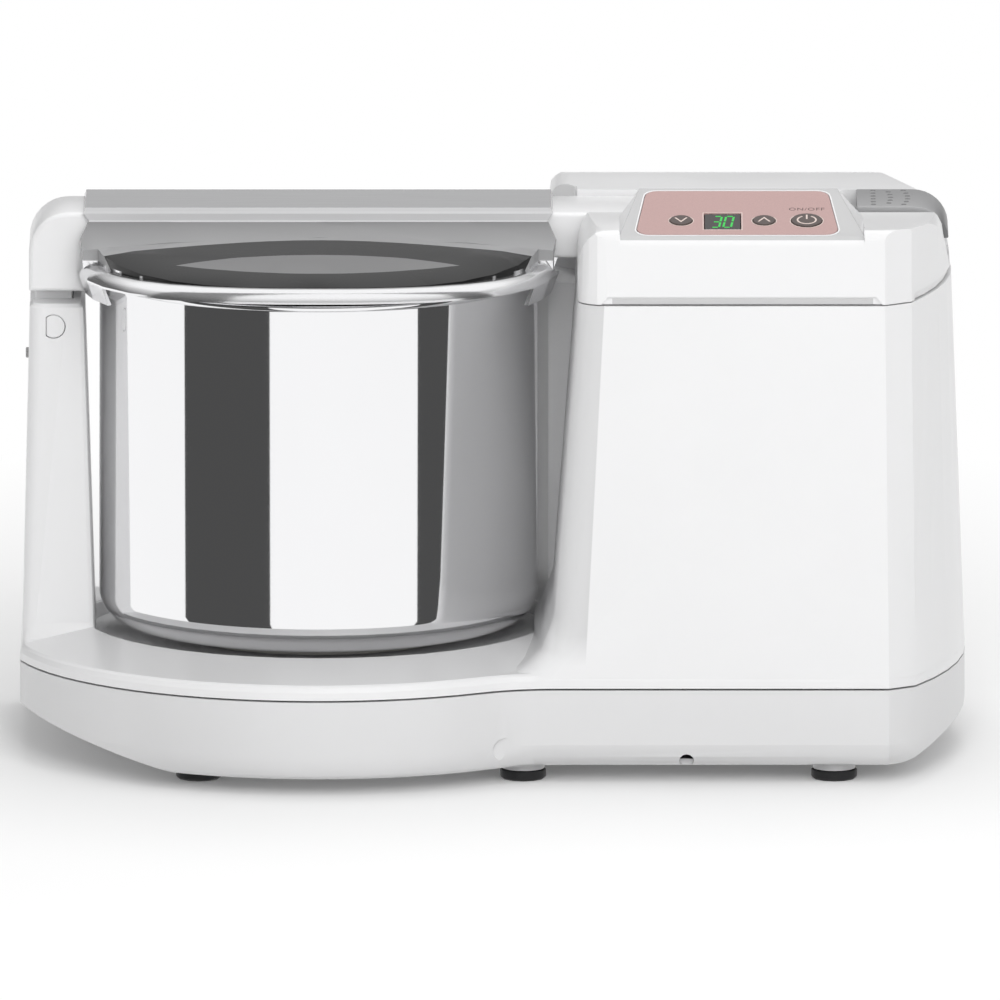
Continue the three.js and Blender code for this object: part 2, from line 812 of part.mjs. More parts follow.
function upperHousing() {
  const drive = upright(spindleRadius + run, recessFloor - 2 * deckThickness, rimHeight, 0, 0);
  const rim = rimHeight + seat;
  const recess = turned([[0, recessFloor], [recessRadius, recessFloor],
    [recessRadius, rimHeight - edgeDrop()], [recessRadius + edgeDrop() / 2, rim], [0, rim]], fineTurn);
  const shell = cut(housingShell(), recess, ...housingHollow(), ...backSlots());
  const postRoom = levels([seamHeight, pinHeight - 3 * knuckleRadius], (z) => postPlan(z, wall, false));
  const bump = bumperHole();
  return cut(join(shell, leftPost()), drive, postRoom, bump);
}

// The socket of the rubber bumper in the post's left face.
function bumperHole() {
  return alongXBar(bumperRadius + seat, bumperFace() - overrun, bumperFace() + bumperDepth);
}

function bumperFace() {
  return (bumperHeight - seamHeight) * postLeftDraftShare - postLeft;
}

function alongXBar(radius, x0, x1) {
  const bar = new THREE.CylinderGeometry(radius, radius, x1 - x0, smallTurn);
  return bar.rotateZ(Math.PI / 2).translate((x0 + x1) / 2, 0, bumperHeight);
}

function bumper() {
  return alongXBar(bumperRadius, bumperFace() - bumperReach, bumperFace() + bumperDepth - seat);
}

function pinPlug() {
  return alongY(plugOutline(plugRadius), -plugFace(), plugDepth - plugFace() - seat);
}

function hingePin() {
  const half = postHalfDepth - plugDepth - seat;
  return lying(pinRadius, plugDepth + seat - plugFace(), half, pinX, pinHeight);
}

// The arm: cap and beam in one moulding with soft edges, and the knuckle that hangs on the pin.
function armBody() {
  const inner = armInnerRadius;
  const corner = armCornerRadius;
  const outline = [
    [armLeft, armCapBottom],
    [armCapRight, armCapBottom],
    ...arcPoints(armCapRight + inner, armBottom - inner, inner, Math.PI, Math.PI / 2, 4),
    [armRight, armBottom],
    [armRight, armTop],
    ...arcPoints(armLeft + corner, armTop - corner, corner, Math.PI / 2, Math.PI, 8),
  ];
  const moulding = alongY(outline, -armHalfDepth, armHalfDepth, armEdgeRadius);
  const half = knuckleHalfDepth;
  const eye = lying(knuckleRadius, -half, half, pinX, pinHeight, turn);
  const [left, right] = [pinX - knuckleRadius, pinX + knuckleRadius];
  const neck = block(left, right, -half, half, pinHeight, armCapBottom + armEdgeRadius);
  const bore = lying(pinRadius + seat, -half - overrun, half + overrun, pinX, pinHeight);
  return cut(join(moulding, eye, neck), bore, forkRoom(), strikeRoom());
}

// The recess in the beam's underside that takes the head of the stone holder's fork.
function forkRoom() {
  const half = forkHalfWidth() + seat;
  const deep = forkHalfDepth() + seat;
  return block(-half, half, -deep, deep, armBottom - overrun, armBottom + forkSink);
}

function forkHalfWidth() {
  return holderHeadWidth / 2 + forkCheek;
}

function forkHalfDepth() {
  return holderHeadDepth / 2 + forkCheek + run;
}

// The fork: a plate let into the beam with two cheeks that straddle the holder's head.
function armFork() {
  const inner = holderHeadDepth / 2 + run;
  const outer = forkHalfDepth();
  const half = forkHalfWidth();
  const low = holderTop - holderHeadHeight / 2;
  const plate = block(-half, half, -outer, outer, holderTop + 2 * run, armBottom + forkSink - seat);
  const front = block(-half, half, -outer, -inner, low, armBottom);
  const rear = block(-half, half, inner, outer, low, armBottom);
  return join(plate, front, rear);
}

// The steel strike at the free end of the beam, under the latch lever's hook.
function strikeRoom() {
  const half = latchWebWidth / 2 + 2 * seat;
  const low = strikeHeight - seat;
  const high = strikeHeight + strikeThickness + seat;
  return block(armRight - strikeLength - seat, armRight + overrun, -half, half, low, high);
}

function armStrike() {
  const half = latchWebWidth / 2 + seat;
  const left = armRight - strikeLength;
  return block(left, armRight + strikeReach, -half, half, strikeHeight, strikeHeight + strikeThickness);
}

// A cover block seen from the front: rounded over at both ends, each end with its own run and drop.
function endProfile({ left, right, lean, low, top, leftEnd, rightEnd }) {
  const stretched = (points, x, { run: across, drop }) => {
    return points.map(([a, b]) => [x + a * across, top - drop + b * drop]);
  };
  const rightArc = stretched(arcPoints(0, 0, 1, 0, Math.PI / 2, 5), right - lean - rightEnd.run, rightEnd);
  const leftArc = stretched(arcPoints(0, 0, 1, Math.PI / 2, Math.PI, 5), left + leftEnd.run, leftEnd);
  return [[left, low], [right, low], ...rightArc, ...leftArc];
}

function coverPlan(inset = 0) {
  return towerPlan(towerTop, inset);
}

function coverFrontLine() {
  return towerFront - (towerTop - seamHeight) * frontDraftShare;
}

function coverBackLine() {
  return bodyBack - (towerTop - seamHeight) * backDraftShare;
}

function coverRightLine() {
  return rightReach - (towerTop - seamHeight) * sideDraftShare;
}

// The cover seen from its end: soft front edge, top falling a little to the slot, back sloping off.
function coverSideProfile(inset = 0) {
  const front = coverFrontLine() - inset;
  const low = towerTop - overrun;
  const back = coverBackLine() + overrun;
  const radius = coverEdgeRadius;
  const rear = coverRearShares.map((share) => {
    const y = coverRearKnee + share * (back - coverRearKnee);
    return [y, coverRearTop - inset - coverRearDrop * share * share];
  });
  const frontTop = coverFrontTop - inset;
  return [
    [-front - overrun, low],
    [back, low],
    ...rear,
    [slotHalfDepth, coverRearTop - inset],
    [-slotHalfDepth, coverInnerTop - inset],
    ...arcPoints(radius - front, frontTop - radius, radius, Math.PI / 2, Math.PI, 4),
    [-front - overrun, frontTop - radius],
  ];
}

// The rear part of the cover reaches further left than the tower's front, round the lid.
function coverRearExtension() {
  const corner = towerBackCornerRadius;
  const back = coverBackLine();
  const right = shoulderRight();
  const outline = [
    [coverRearLeft, shoulderStep],
    [right, shoulderStep],
    [right, back],
    ...arcPoints(coverRearLeft + corner, back - corner, corner, Math.PI / 2, Math.PI, 4),
  ];
  return upward(outline, towerTop + coverGap, coverFrontTop + overrun);
}

// The pod under the control panel: a wedge that narrows as it rises.
function podSlope() {
  return Math.atan((podBackTop - podFrontTop) / (podBackY - podFrontY));
}

function podWedge() {
  const slope = podSlope();
  const radius = coverEdgeRadius;
  const front0 = -coverFrontLine();
  const edgeHeight = podFrontTop + (front0 + radius - podFrontY) * Math.tan(slope) - radius / Math.cos(slope);
  const side = [
    [front0, podFloor],
    [podBackY, podFloor],
    [podBackY, podBackTop],
    ...arcPoints(front0 + radius, edgeHeight, radius, Math.PI / 2 + slope, Math.PI, 4),
  ];
  const front = [
    [podFrontLeft, podFloor],
    [podFrontRight, podFloor],
    [podFrontRight, podFrontTop],
    [podBackRight, podBackTop - podSoftness / 2],
    [podBackRight - podSoftness, podBackTop + podSoftness],
    [podBackLeft + podSoftness, podBackTop + podSoftness],
    [podBackLeft, podBackTop - podSoftness / 2],
    [podFrontLeft, podFrontTop],
  ];
  const across = alongX(side, podFrontLeft - overrun, podFrontRight + overrun);
  return common(across, alongY(front, front0 - overrun, podBackY + overrun));
}

// The cover's front is cleared over the pod's width, so that the sloping face runs out to the front.
function podRoom() {
  const front = -coverFrontLine() - overrun;
  const [left, right] = [podFrontLeft + seat, podFrontRight - seat];
  return block(left, right, front, podBackY - seat, podFloor + seat, coverFrontTop + overrun);
}

// Places a piece drawn flat, with its front edge on the X axis, on the pod's sloping face.
function onPod(geometry) {
  return geometry.rotateX(podSlope()).translate(0, podFrontY, podFrontTop);
}

// The panel's outline: a rounded trapezoid, narrower at the back.
function panelPlan(grow = 0) {
  const taper = panelTaper;
  const radius = panelCornerRadius;
  const near = panelNear - grow;
  const far = panelFar + grow;
  const left = panelLeft - grow;
  const right = panelRight + grow;
  return [
    ...arcPoints(left + radius, near + radius, radius, Math.PI, 1.5 * Math.PI, 4),
    ...arcPoints(right - radius, near + radius, radius, 1.5 * Math.PI, 2 * Math.PI, 4),
    ...arcPoints(right - taper - radius, far - radius, radius, 0, Math.PI / 2, 4),
    ...arcPoints(left + taper + radius, far - radius, radius, Math.PI / 2, Math.PI, 4),
  ];
}

const keys = [
  { name: "key_down", x: downKeyX, radius: keyRadius },
  { name: "key_up", x: upKeyX, radius: keyRadius },
  { name: "key_power", x: powerKeyX, radius: powerRadius },
];

function windowPlan(inset) {
  const [left, right] = [windowLeft + inset, windowRight - inset];
  const [near, far] = [windowNear + inset, windowFar - inset];
  return [[left, near], [right, near], [right, far], [left, far]];
}

function controlPanel() {
  const plate = upward(panelPlan(), seat - panelThickness, seat);
  const holes = keys.map(({ x, radius }) => upright(radius + seat, -overrun, overrun, x, keyHeight, turn));
  return onPod(cut(plate, ...holes, upward(windowPlan(0), -overrun, overrun)));
}

function displayWindow() {
  return onPod(upward(windowPlan(seat), seat - panelThickness, 0));
}

// A key: a cap that stands in the panel's hole and a flange that holds it from below.
function keyCap({ x, radius }) {
  const flangeTop = -panelThickness;
  const flangeBottom = keyRise - keyThickness - keyTravel;
  const soft = keySoftness;
  const flange = radius + run;
  const profile = [[0, flangeBottom], [flange, flangeBottom], [flange, flangeTop], [radius, flangeTop]];
  profile.push([radius, keyRise - soft], [radius - soft, keyRise], [0, keyRise]);
  return onPod(turned(profile, turn).translate(x, keyHeight, 0));
}

// The board lies on the floor of the pod's pocket and carries one switch under each key.
function controlBoard() {
  const low = seat - panelPocketDepth;
  const top = low + boardThickness;
  const plate = upward(boardPlan(-seat), low, top);
  const switchTop = keyRise - keyThickness - 2 * keyTravel - seat;
  const switches = keys.map(({ x }) => {
    return upright(switchRadius, top - boardThickness / 2, switchTop, x, keyHeight, smallTurn);
  });
  return onPod(join(plate, ...switches));
}

function boardPlan(grow) {
  const rim = panelCornerRadius;
  const [left, right] = [panelLeft + rim - grow, panelRight - rim + grow];
  const [near, far] = [panelNear + rim - grow, panelFar - 2 * rim + grow];
  return [[left, near], [right, near], [right, far], [left, far]];
}

function displayModule() {
  const low = 2 * seat + boardThickness - panelPocketDepth;
  const body = upward(windowPlan(3 * seat), low, -panelThickness - seat);
  return onPod(body);
}

// The recess for the panel and, under it, the pocket for the board.
function podPockets() {
  const recess = onPod(upward(panelPlan(seat), -panelThickness, overrun));
  const pocket = onPod(upward(boardPlan(0), -panelPocketDepth, overrun));
  return [recess, pocket];
}

// The shadow groove along the foot of the cover's front.
function coverGroove() {
  const front = -coverFrontLine();
  const low = towerTop;
  const top = towerTop + coverGap + grooveHeight;
  const left = podFrontLeft - podGrooveMargin;
  const right = podFrontRight + podGrooveMargin;
  const profile = [[left - grooveHeight, low], [right + grooveHeight, low], [right, top], [left, top]];
  return alongY(profile, front - overrun, front + grooveDepth);
}

// The same groove along the foot of the cover's bowed right end.
function sideGroove() {
  const low = towerTop;
  const top = towerTop + coverGap + grooveHeight;
  const depth = coverFrontLine() - chamferDepth - grooveHeight;
  const start = latchRight - chamferWidth - chamferDepth;
  const band = block(start, rightReach, -depth, depth, low, top);
  return cut(band, levels([low - overrun, top + overrun], () => coverPlan(grooveDepth)));
}

function coverHollow() {
  const low = towerTop - overrun;
  const inner = levels([low, slotFloor - coverWall], () => coverPlan(coverWall));
  const [front, back] = [2 * coverWall - coverFrontLine(), -slotHalfDepth - coverWall];
  const frontRoom = block(panelLeft, panelRight, front, back, low, podFloor - coverWall);
  return [inner, frontRoom];
}

function topCover() {
  const low = towerTop + coverGap;
  const high = coverFrontTop + overrun;
  const plan = levels([low, high], () => coverPlan());
  const right = coverRightLine();
  const farFront = -coverFrontLine() - overrun;
  const farBack = coverBackLine() + overrun;
  const frontLeft = coverPlan()[0][0];
  const rightEnd = { run: coverRightRun, drop: coverRightRun };
  const shape = { right, lean: coverSideLean, low, rightEnd };
  const shoulder = { run: coverShoulderRun, drop: coverShoulderDrop };
  const frontEnds = endProfile({ ...shape, left: frontLeft, top: coverFrontTop, leftEnd: shoulder });
  const soft = { run: coverRearSoftness, drop: coverRearSoftness };
  const rearEnds = endProfile({ ...shape, left: coverRearLeft, top: coverRearTop, leftEnd: soft });
  const rearPart = alongY(rearEnds, slotHalfDepth - seat, farBack);
  const ends = join(alongY(frontEnds, farFront, slotHalfDepth), rearPart);
  const side = alongX(coverSideProfile(), coverRearLeft - overrun, right + overrun);
  const solid = cut(common(join(plan, coverRearExtension()), side, ends), podRoom(), rearChamfer());
  const grooves = [coverGroove(), sideGroove()];
  return cut(join(solid, podWedge()), ...podPockets(), ...coverSlots(), ...grooves, ...coverHollow());
}

// Planes the rear part's right corner down, from the slot to the back.
function rearChamfer() {
  const top = coverRearTop;
  const high = top + 2 * overrun;
  const far = rightReach;
  const outline = [[0, top], [far, top - far], [far, high], [0, high]];
  const wedge = alongY(outline, 0, far).rotateZ(rearChamferAngle);
  return wedge.translate(rightReach - rearChamferInset, slotHalfDepth, 0);
}

// The slot for the beam and the latch lever, the lid's clearance, the bores of the latch pin and the
// notch that lets a finger under the lever's tip.
function coverSlots() {
  const half = slotHalfDepth;
  const high = podBackTop + overrun;
  const step = latchLeft + (latchRight - latchLeft) / 2;
  const beam = block(coverRearLeft - overrun, step, -half, half, slotFloor, high);
  const lever = block(step - overrun, rightReach + overrun, -half, half, latchTipBottom - 2 * run, high);
  const low = towerTop - overrun;
  const behind = block(-rightReach, rightReach, shoulderStep - seat, rightReach, low, high);
  const scoop = common(lidRoom(coverEndAngle, low, high), behind);
  const deep = pinHalfLength() + seat;
  const pinHole = lying(latchPinRadius + seat, -deep, deep, latchPinX, latchPinHeight);
  const notchHeight = latchTipBottom - fingerRadius / 2;
  const notch = lying(fingerRadius, -latchHalfDepth, latchHalfDepth, coverRightLine(), notchHeight, turn);
  return [beam, lever, scoop, pinHole, notch];
}

function pinHalfLength() {
  return slotHalfDepth + 2 * coverWall;
}

function latchPin() {
  return lying(latchPinRadius, -pinHalfLength(), pinHalfLength(), latchPinX, latchPinHeight);
}

// The latch lever: a plate that lies along the beam's end and bends down over the right side, with
// an eye on the pin and a hook below it.
function latchLever() {
  const centreX = latchRight - latchBend;
  const centreZ = latchTop - latchBend;
  const end = Math.asin((latchTipBottom - centreZ) / latchBend);
  const inner = latchBend - latchThickness;
  const plate = [
    [latchLeft, latchTop - latchThickness],
    ...arcPoints(centreX, centreZ, inner, Math.PI / 2, end, 6),
    ...arcPoints(centreX, centreZ, latchBend, end, Math.PI / 2, 8),
    [latchLeft, latchTop],
  ];
  const shell = alongY(plate, -latchHalfDepth, latchHalfDepth, latchSoftness);
  const half = latchWebWidth / 2;
  const eye = lying(latchEyeRadius, -half, half, latchPinX, latchPinHeight);
  const neckTop = latchTop - latchThickness / 2;
  const [left, right] = [latchPinX - latchEyeRadius, latchPinX + latchEyeRadius];
  const neck = block(left, right, -half, half, latchPinHeight, neckTop);
  const stemLeft = latchPinX + latchEyeRadius - latchHookThickness;
  const hook = [
    [latchHookLeft, strikeHeight + strikeThickness + 2 * run],
    [stemLeft, strikeHeight + strikeThickness + run],
    [stemLeft + latchHookThickness, latchHookBottom],
    [stemLeft + latchHookThickness, latchPinHeight],
    [stemLeft, latchPinHeight],
    [stemLeft, strikeHeight + strikeThickness + latchHookThickness + run],
    [latchHookLeft, strikeHeight + strikeThickness + latchHookThickness],
  ];
  const claw = alongY(hook, -half, half);
  const bore = lying(latchPinRadius + seat, -half - overrun, half + overrun, latchPinX, latchPinHeight);
  return cut(join(shell, eye, neck, claw), bore);
}

// The lid's plan is a squared round: points about the axis move out toward the corners.
function squared(geometry) {
  const position = geometry.attributes.position;
  for (let i = 0; i < position.count; i += 1) {
    const [x, y] = [position.getX(i), position.getY(i)];
    const angle = Math.atan2(y, x);
    const sum = Math.abs(Math.cos(angle)) ** lidSquareness + Math.abs(Math.sin(angle)) ** lidSquareness;
    const share = sum ** (-1 / lidSquareness);
    position.setXY(i, x * share * lidAcrossShare, y * share);
  }
  return geometry;
}

// Height of the lid's domed plate over a point of the plan.
function domeHeight(x, y) {
  const share = ((x / lidDomeStretchShare) ** 2 + y ** 2) / lidPlateRadius ** 2;
  return lidDomeTop - lidDomeFall * share;
}

// The lid's plate: a shallow dome, longer across the machine than from front to back.
function lidDome(drop) {
  const low = lidRingBottom - overrun;
  const slope = lidDomeShares.map((share) => {
    return [share * lidPlateRadius, domeHeight(0, share * lidPlateRadius) - drop];
  });
  const profile = [[0, low], [slope[0][0], low], ...slope, [0, lidDomeTop - drop]];
  const dome = turned(profile, fineTurn).scale(lidDomeStretchShare, 1, 1);
  return common(dome, squared(upright(lidPlateRadius - drop, lidRingBottom, lidDomeTop, 0, 0, fineTurn)));
}

// The ridge over the beam, seen from its end at a distance along it.
function ridgeSection(x, drop) {
  const foot = ridgeFootHalfDepth - drop;
  const footHeight = domeHeight(x, ridgeFootHalfDepth) - drop;
  const half = ridgeHalfDepth - drop;
  const top = ridgeTop - drop;
  const soft = ridgeEdgeRadius;
  const low = lidRingBottom;
  const left = [[-foot, low], [-foot, footHeight], [-half, ridgeWallBottom - drop]];
  left.push([-half, top - soft], [soft - half, top]);
  const right = left.map(([y, z]) => [-y, z]).reverse();
  return [...right, ...left].reverse();
}

// Sections along X joined to one body, each an outline of [y, z] pairs.
function loftAlongX(places, sectionAt) {
  const body = loft(places.map((x) => ({ z: x, outline: sectionAt(x) })));
  return body.rotateX(Math.PI / 2).rotateZ(Math.PI / 2);
}

function lidRidge(drop) {
  const reach = lidRadius;
  const places = ridgeShares.map((share) => share * reach);
  const ridge = loftAlongX(places, (x) => ridgeSection(x, drop));
  const top = ridgeTop + overrun;
  const ends = [
    [-reach, lidRingBottom - overrun],
    [reach, lidRingBottom - overrun],
    [reach, lidRingTop],
    [ridgeHalfLength, ridgeWallBottom],
    [ridgeHalfLength + ridgeEdgeRadius, ridgeTop - ridgeEdgeRadius],
    [ridgeHalfLength, top],
    [-ridgeHalfLength, top],
    [-ridgeHalfLength - ridgeEdgeRadius, ridgeTop - ridgeEdgeRadius],
    [-ridgeHalfLength, ridgeWallBottom],
    [-reach, lidRingTop],
  ];
  if (drop > 0) return ridge;
  const plan = squared(upright(lidRadius - ridgeEndInset, lidRingBottom, top, 0, 0, fineTurn));
  return common(ridge, alongY(ends, -reach, reach), plan);
}

// The rolled ring round the plate, full inside, at its outer or its inner skin.
function lidRing(drop) {
  const radius = lidRadius - drop;
  const height = lidRingHeight;
  const low = drop > 0 ? lidTabBottom : lidRingBottom;
  const tabInner = radius - lidTabLean;
  const foot = drop > 0 ? [[0, low - overrun], [tabInner, low - overrun], [tabInner, low]] : [[0, low]];
  const shoulder = arcPoints(radius - height, lidRingBottom, height, lidRingStart, Math.PI / 2, 4);
  const lowered = shoulder.map(([r, z]) => [r, z - drop / 2]);
  const profile = [...foot, [radius, lidRingBottom - drop / 2], ...lowered, [0, lidRingTop - drop / 2]];
  return squared(turned(profile, fineTurn));
}

// Grips that hang from the ring at both ends.
function lidTabs() {
  const high = lidRingBottom + seat;
  const outer = lidRadius - seat;
  const profile = [[0, lidTabBottom], [outer - lidTabLean, lidTabBottom], [outer, lidRingBottom], [outer, high]];
  const ring = squared(turned([...profile, [0, high]], fineTurn));
  const far = 2 * lidRadius;
  const rise = far * Math.sin(lidTabHalfAngle);
  const across = far * Math.cos(lidTabHalfAngle);
  const wedge = (side) => {
    const outline = [[0, 0], [side * across, -side * rise], [side * across, side * rise]];
    return common(ring, upward(outline, lidTabBottom - overrun, lidRingTop));
  };
  return [wedge(1), wedge(-1)];
}

function lid() {
  const skin = join(lidDome(0), lidRidge(0), lidRing(0), ...lidTabs());
  const far = lidRadius + overrun;
  const passage = block(-far, far, -lidPassage(), lidPassage(), lidTabBottom - overrun, armTop + seat);
  return cut(skin, lidDome(lidWall), lidRidge(lidWall), lidRing(lidWall), passage);
}

// Half the width left open at both ends of the lid for the arm.
function lidPassage() {
  return ridgeHalfDepth - lidWall;
}

// The drum: a drawn steel pot with a wide corner at its foot and a bead rolled round its mouth.
function drumShell() {
  const outer = drumRadius;
  const inner = outer - drumWall;
  const corner = drumCornerRadius;
  const low = drumBottom;
  const foot = arcPoints(outer - corner, low + corner, corner, 1.5 * Math.PI, 2 * Math.PI, 5);
  const inside = arcPoints(outer - corner, low + corner, corner - drumWall, 1.5 * Math.PI, 2 * Math.PI, 5);
  const beadZ = drumTop - beadRadius;
  const bead = arcPoints(outer, beadZ, beadRadius, -Math.PI / 2, Math.PI / 2, 5);
  const profile = [[drumHole, low], ...foot, ...bead, [inner, drumTop], ...inside.reverse()];
  return turned([...profile, [drumHole, low + drumWall]], fineTurn);
}

// The ring under the drum that the spindle's dog sits in.
function driveRing() {
  const low = recessFloor + run;
  const high = drumBottom - seat;
  const groove = driveRingRadius - driveRingTaper;
  const inner = dogRadius + seat;
  return turned([[inner, low], [driveRingRadius, low], [groove, high], [inner, high]], turn);
}

// The stone bed on the drum's floor.
function stoneBed() {
  const low = drumBottom + drumWall + seat;
  const corner = bedRadius - drumCornerRadius / 2;
  const hole = drumHole;
  const profile = [[hole, low], [corner, low], [bedRadius, low + drumCornerRadius / 2]];
  profile.push([bedRadius, bedTop - bedEdge], [bedRadius - bedEdge, bedTop], [hole, bedTop]);
  return turned(profile, turn);
}

// The steel pin that rises from the drum's floor and centres the stone holder.
function centrePin() {
  const low = drumBottom;
  const flange = drumHole - seat;
  const soft = bedEdge;
  return turned([[0, low], [flange, low], [flange, bedTop - soft], [centrePinRadius, bedTop],
    [centrePinRadius, centrePinTop - soft], [centrePinRadius - soft, centrePinTop], [0, centrePinTop]], smallTurn);
}

// A piece drawn along Z from the cone's point, laid over to one side so that it rolls on the bed.
function alongAxle(geometry, side) {
  const lean = Math.PI / 2 - coneAngle;
  return geometry.rotateX(-side * lean).translate(0, 0, bedTop + seat);
}

// A conical stone with a soft outer edge and a bore for its axle.
function conicalStone(side) {
  const slope = Math.tan(coneAngle);
  const start = coneInner * Math.cos(coneAngle);
  const end = coneOuter * Math.cos(coneAngle);
  const soft = bedEdge;
  const profile = [[coneBore, start], [start * slope, start], [(end - soft) * slope, end - soft],
    [(end - soft) * slope, end], [coneBore, end]];
  return alongAxle(turned(profile, turn), side);
}

// An axle with its nut, held by the stone holder.
function stoneAxle(side) {
  const start = axleStart() + seat;
  const end = coneOuter * Math.cos(coneAngle) + run;
  const nut = end + axleNutLength;
  const profile = [[0, start], [axleRadius, start], [axleRadius, end], [axleNutRadius, end]];
  return alongAxle(turned([...profile, [axleNutRadius, nut], [0, nut]], smallTurn), side);
}

// Where the axles leave the holder's sleeve, measured from the cone's point.
function axleStart() {
  return (centrePinRadius + run + axleRadius * Math.sin(coneAngle)) / Math.cos(coneAngle);
}

// The holder: a sleeve on the centre pin, a column above it and a head with two flats on top.
function stoneHolder() {
  const low = holderBottom;
  const bore = centrePinRadius + seat;
  const neck = holderTop - holderHeadHeight;
  const boreEnd = centrePinTop + run;
  const sleeve = turned([[bore, low], [holderRadius, low], [holderRadius, neck], [0, neck], [0, boreEnd],
    [bore, boreEnd]], turn);
  const halfWidth = holderHeadWidth / 2;
  const halfDepth = holderHeadDepth / 2;
  const head = block(-halfWidth, halfWidth, -halfDepth, halfDepth, neck - wall, holderTop);
  const sockets = [1, -1].map((side) => {
    const socket = upright(axleRadius + seat, axleStart(), axleStart() + 2 * holderRadius, 0, 0, smallTurn);
    return alongAxle(socket, side);
  });
  const strapTop = wiperHeight + 2 * wiperThickness;
  const strap = block(0, holderRadius + wall, -strapWidth / 2, strapWidth / 2, wiperHeight, strapTop);
  return cut(join(sleeve, head, strap), ...sockets, strapRoom());
}

// The slot through the holder's strap for the wiper's tongue.
function strapRoom() {
  const low = wiperHeight + wiperThickness / 2 - seat;
  const high = low + wiperThickness + 2 * seat;
  const half = wiperTongueWidth / 2 + seat;
  return block(holderRadius, holderRadius + wall + overrun, -half, half, low, high);
}

// The wiper: a strip that reaches out over the stones and down the drum's wall to the bed.
function wiper() {
  const inside = drumRadius - drumWall - 2 * run;
  const mid = wiperHeight + wiperThickness / 2;
  const start = holderRadius + wall + seat;
  const low = bedTop + run;
  const outline = [
    [start, mid],
    [inside - 2 * wiperThickness, mid],
    [inside - 2 * wiperThickness, low + wiperWidth],
    [bedRadius - wiperWidth, low],
    [bedRadius, low],
    [inside, low + wiperToeHeight],
    [inside, mid + wiperThickness],
    [start, mid + wiperThickness],
  ];
  const blade = alongY(outline, -wiperWidth / 2, wiperWidth / 2);
  const bow = upright(inside, low - overrun, wiperHeight + wiperWidth, 0, 0, fineTurn);
  const half = wiperTongueWidth / 2;
  const tongue = block(holderRadius + seat, start + overrun, -half, half, mid, mid + wiperThickness);
  return join(common(blade, bow), tongue);
}

// The spindle with the dog that carries the drum.
function spindle() {
  const dogBottom = recessFloor + run;
  const top = drumBottom - seat;
  const profile = [[0, spindleBottom], [spindleRadius, spindleBottom], [spindleRadius, dogBottom]];
  return turned([...profile, [dogRadius, dogBottom], [dogRadius, top], [0, top]], turn);
}

// A grooved wheel with a web between hub and rim.
function pulley(radius, hub, bore) {
  const low = pulleyBottom;
  const high = pulleyTop;
  const middle = (low + high) / 2;
  const half = beltWidth / 2 + seat;
  const rim = radius - pulleyFlange;
  const flange = radius + pulleyFlange;
  const groove = [[flange, low], [flange, low + seat], [radius, middle - half], [radius, middle + half],
    [flange, high - seat], [flange, high]];
  if (rim - pulleyWeb < hub) return turned([[bore, low], ...groove, [bore, high]], turn);
  const [webLow, webHigh] = [middle - pulleyWeb / 2, middle + pulleyWeb / 2];
  const inner = rim - pulleyWeb;
  const webbed = [[inner, high], [inner, webHigh], [hub, webHigh]];
  const under = [[hub, webLow], [inner, webLow], [inner, low]];
  return turned([[bore, low], [hub, low], ...under, ...groove, ...webbed, [hub, high], [bore, high]], turn);
}

function drivenPulley() {
  return pulley(drivenRadius, drivenHubRadius, spindleRadius + seat);
}

function motorPulley() {
  return pulley(motorPulleyRadius, motorHubRadius, shaftRadius + seat).translate(motorX, 0, 0);
}

// The belt: a band that hugs both wheels and runs straight between them.
function driveBelt() {
  const half = beltWidth / 2;
  const middle = (pulleyBottom + pulleyTop) / 2;
  const inner = upward(beltPath(seat), middle - half - overrun, middle + half + overrun);
  return cut(upward(beltPath(seat + beltThickness), middle - half, middle + half), inner);
}

// The belt's line at a distance outside the wheels' grooves.
function beltPath(grow) {
  const large = drivenRadius + grow;
  const small = motorPulleyRadius + grow;
  const tangent = Math.acos((large - small) / motorX);
  const round = arcPoints(0, 0, large, tangent, 2 * Math.PI - tangent, 24);
  const end = arcPoints(0, 0, small, -tangent, tangent, 10).map(([x, y]) => [x + motorX, y]);
  return [...round, ...end];
}

// The tube that carries the spindle's bearings, hung from the deck by its flange.
function spindleHousing() {
  const top = recessFloor - deckThickness - seat;
  const inner = bearingOuter + seat;
  const low = housingTubeBottom;
  const flange = top - housingFlangeHeight;
  const tube = [[inner, low], [housingTubeRadius, low], [housingTubeRadius, flange]];
  const collar = [[housingFlangeRadius, flange], [housingFlangeRadius, top], [inner, top]];
  return turned([...tube, ...collar], turn);
}

function spindleBearing(low) {
  const inner = spindleRadius + seat;
  const high = low + bearingHeight;
  return turned([[inner, low], [bearingOuter, low], [bearingOuter, high], [inner, high]], turn);
}

// Motor pieces stand about the motor's own axis and are then moved to it.
function atMotor(geometry) {
  return geometry.translate(motorX, 0, 0);
}

function motorStator() {
  const core = upright(statorRadius, stackBottom, stackTop, 0, 0, turn);
  const half = statorHalf;
  const flattened = common(core, block(-half, half, -half, half, stackBottom, stackTop));
  return atMotor(cut(flattened, upright(statorBore, stackBottom - overrun, stackTop + overrun, 0, 0, turn)));
}

function motorWinding(low) {
  const high = low + windingHeight;
  const soft = windingSoftness;
  return atMotor(turned([[windingInner, low], [windingOuter - soft, low], [windingOuter, low + soft],
    [windingOuter, high - soft], [windingOuter - soft, high], [windingInner, high]], turn));
}

function motorRotor() {
  const stack = [[rotorRadius, stackBottom], [rotorRadius, stackTop]];
  const below = [[0, shaftBottom], [shaftRadius, shaftBottom], [shaftRadius, stackBottom]];
  const above = [[shaftRadius, stackTop], [shaftRadius, shaftTop], [0, shaftTop]];
  return atMotor(turned([...below, ...stack, ...above], turn));
}

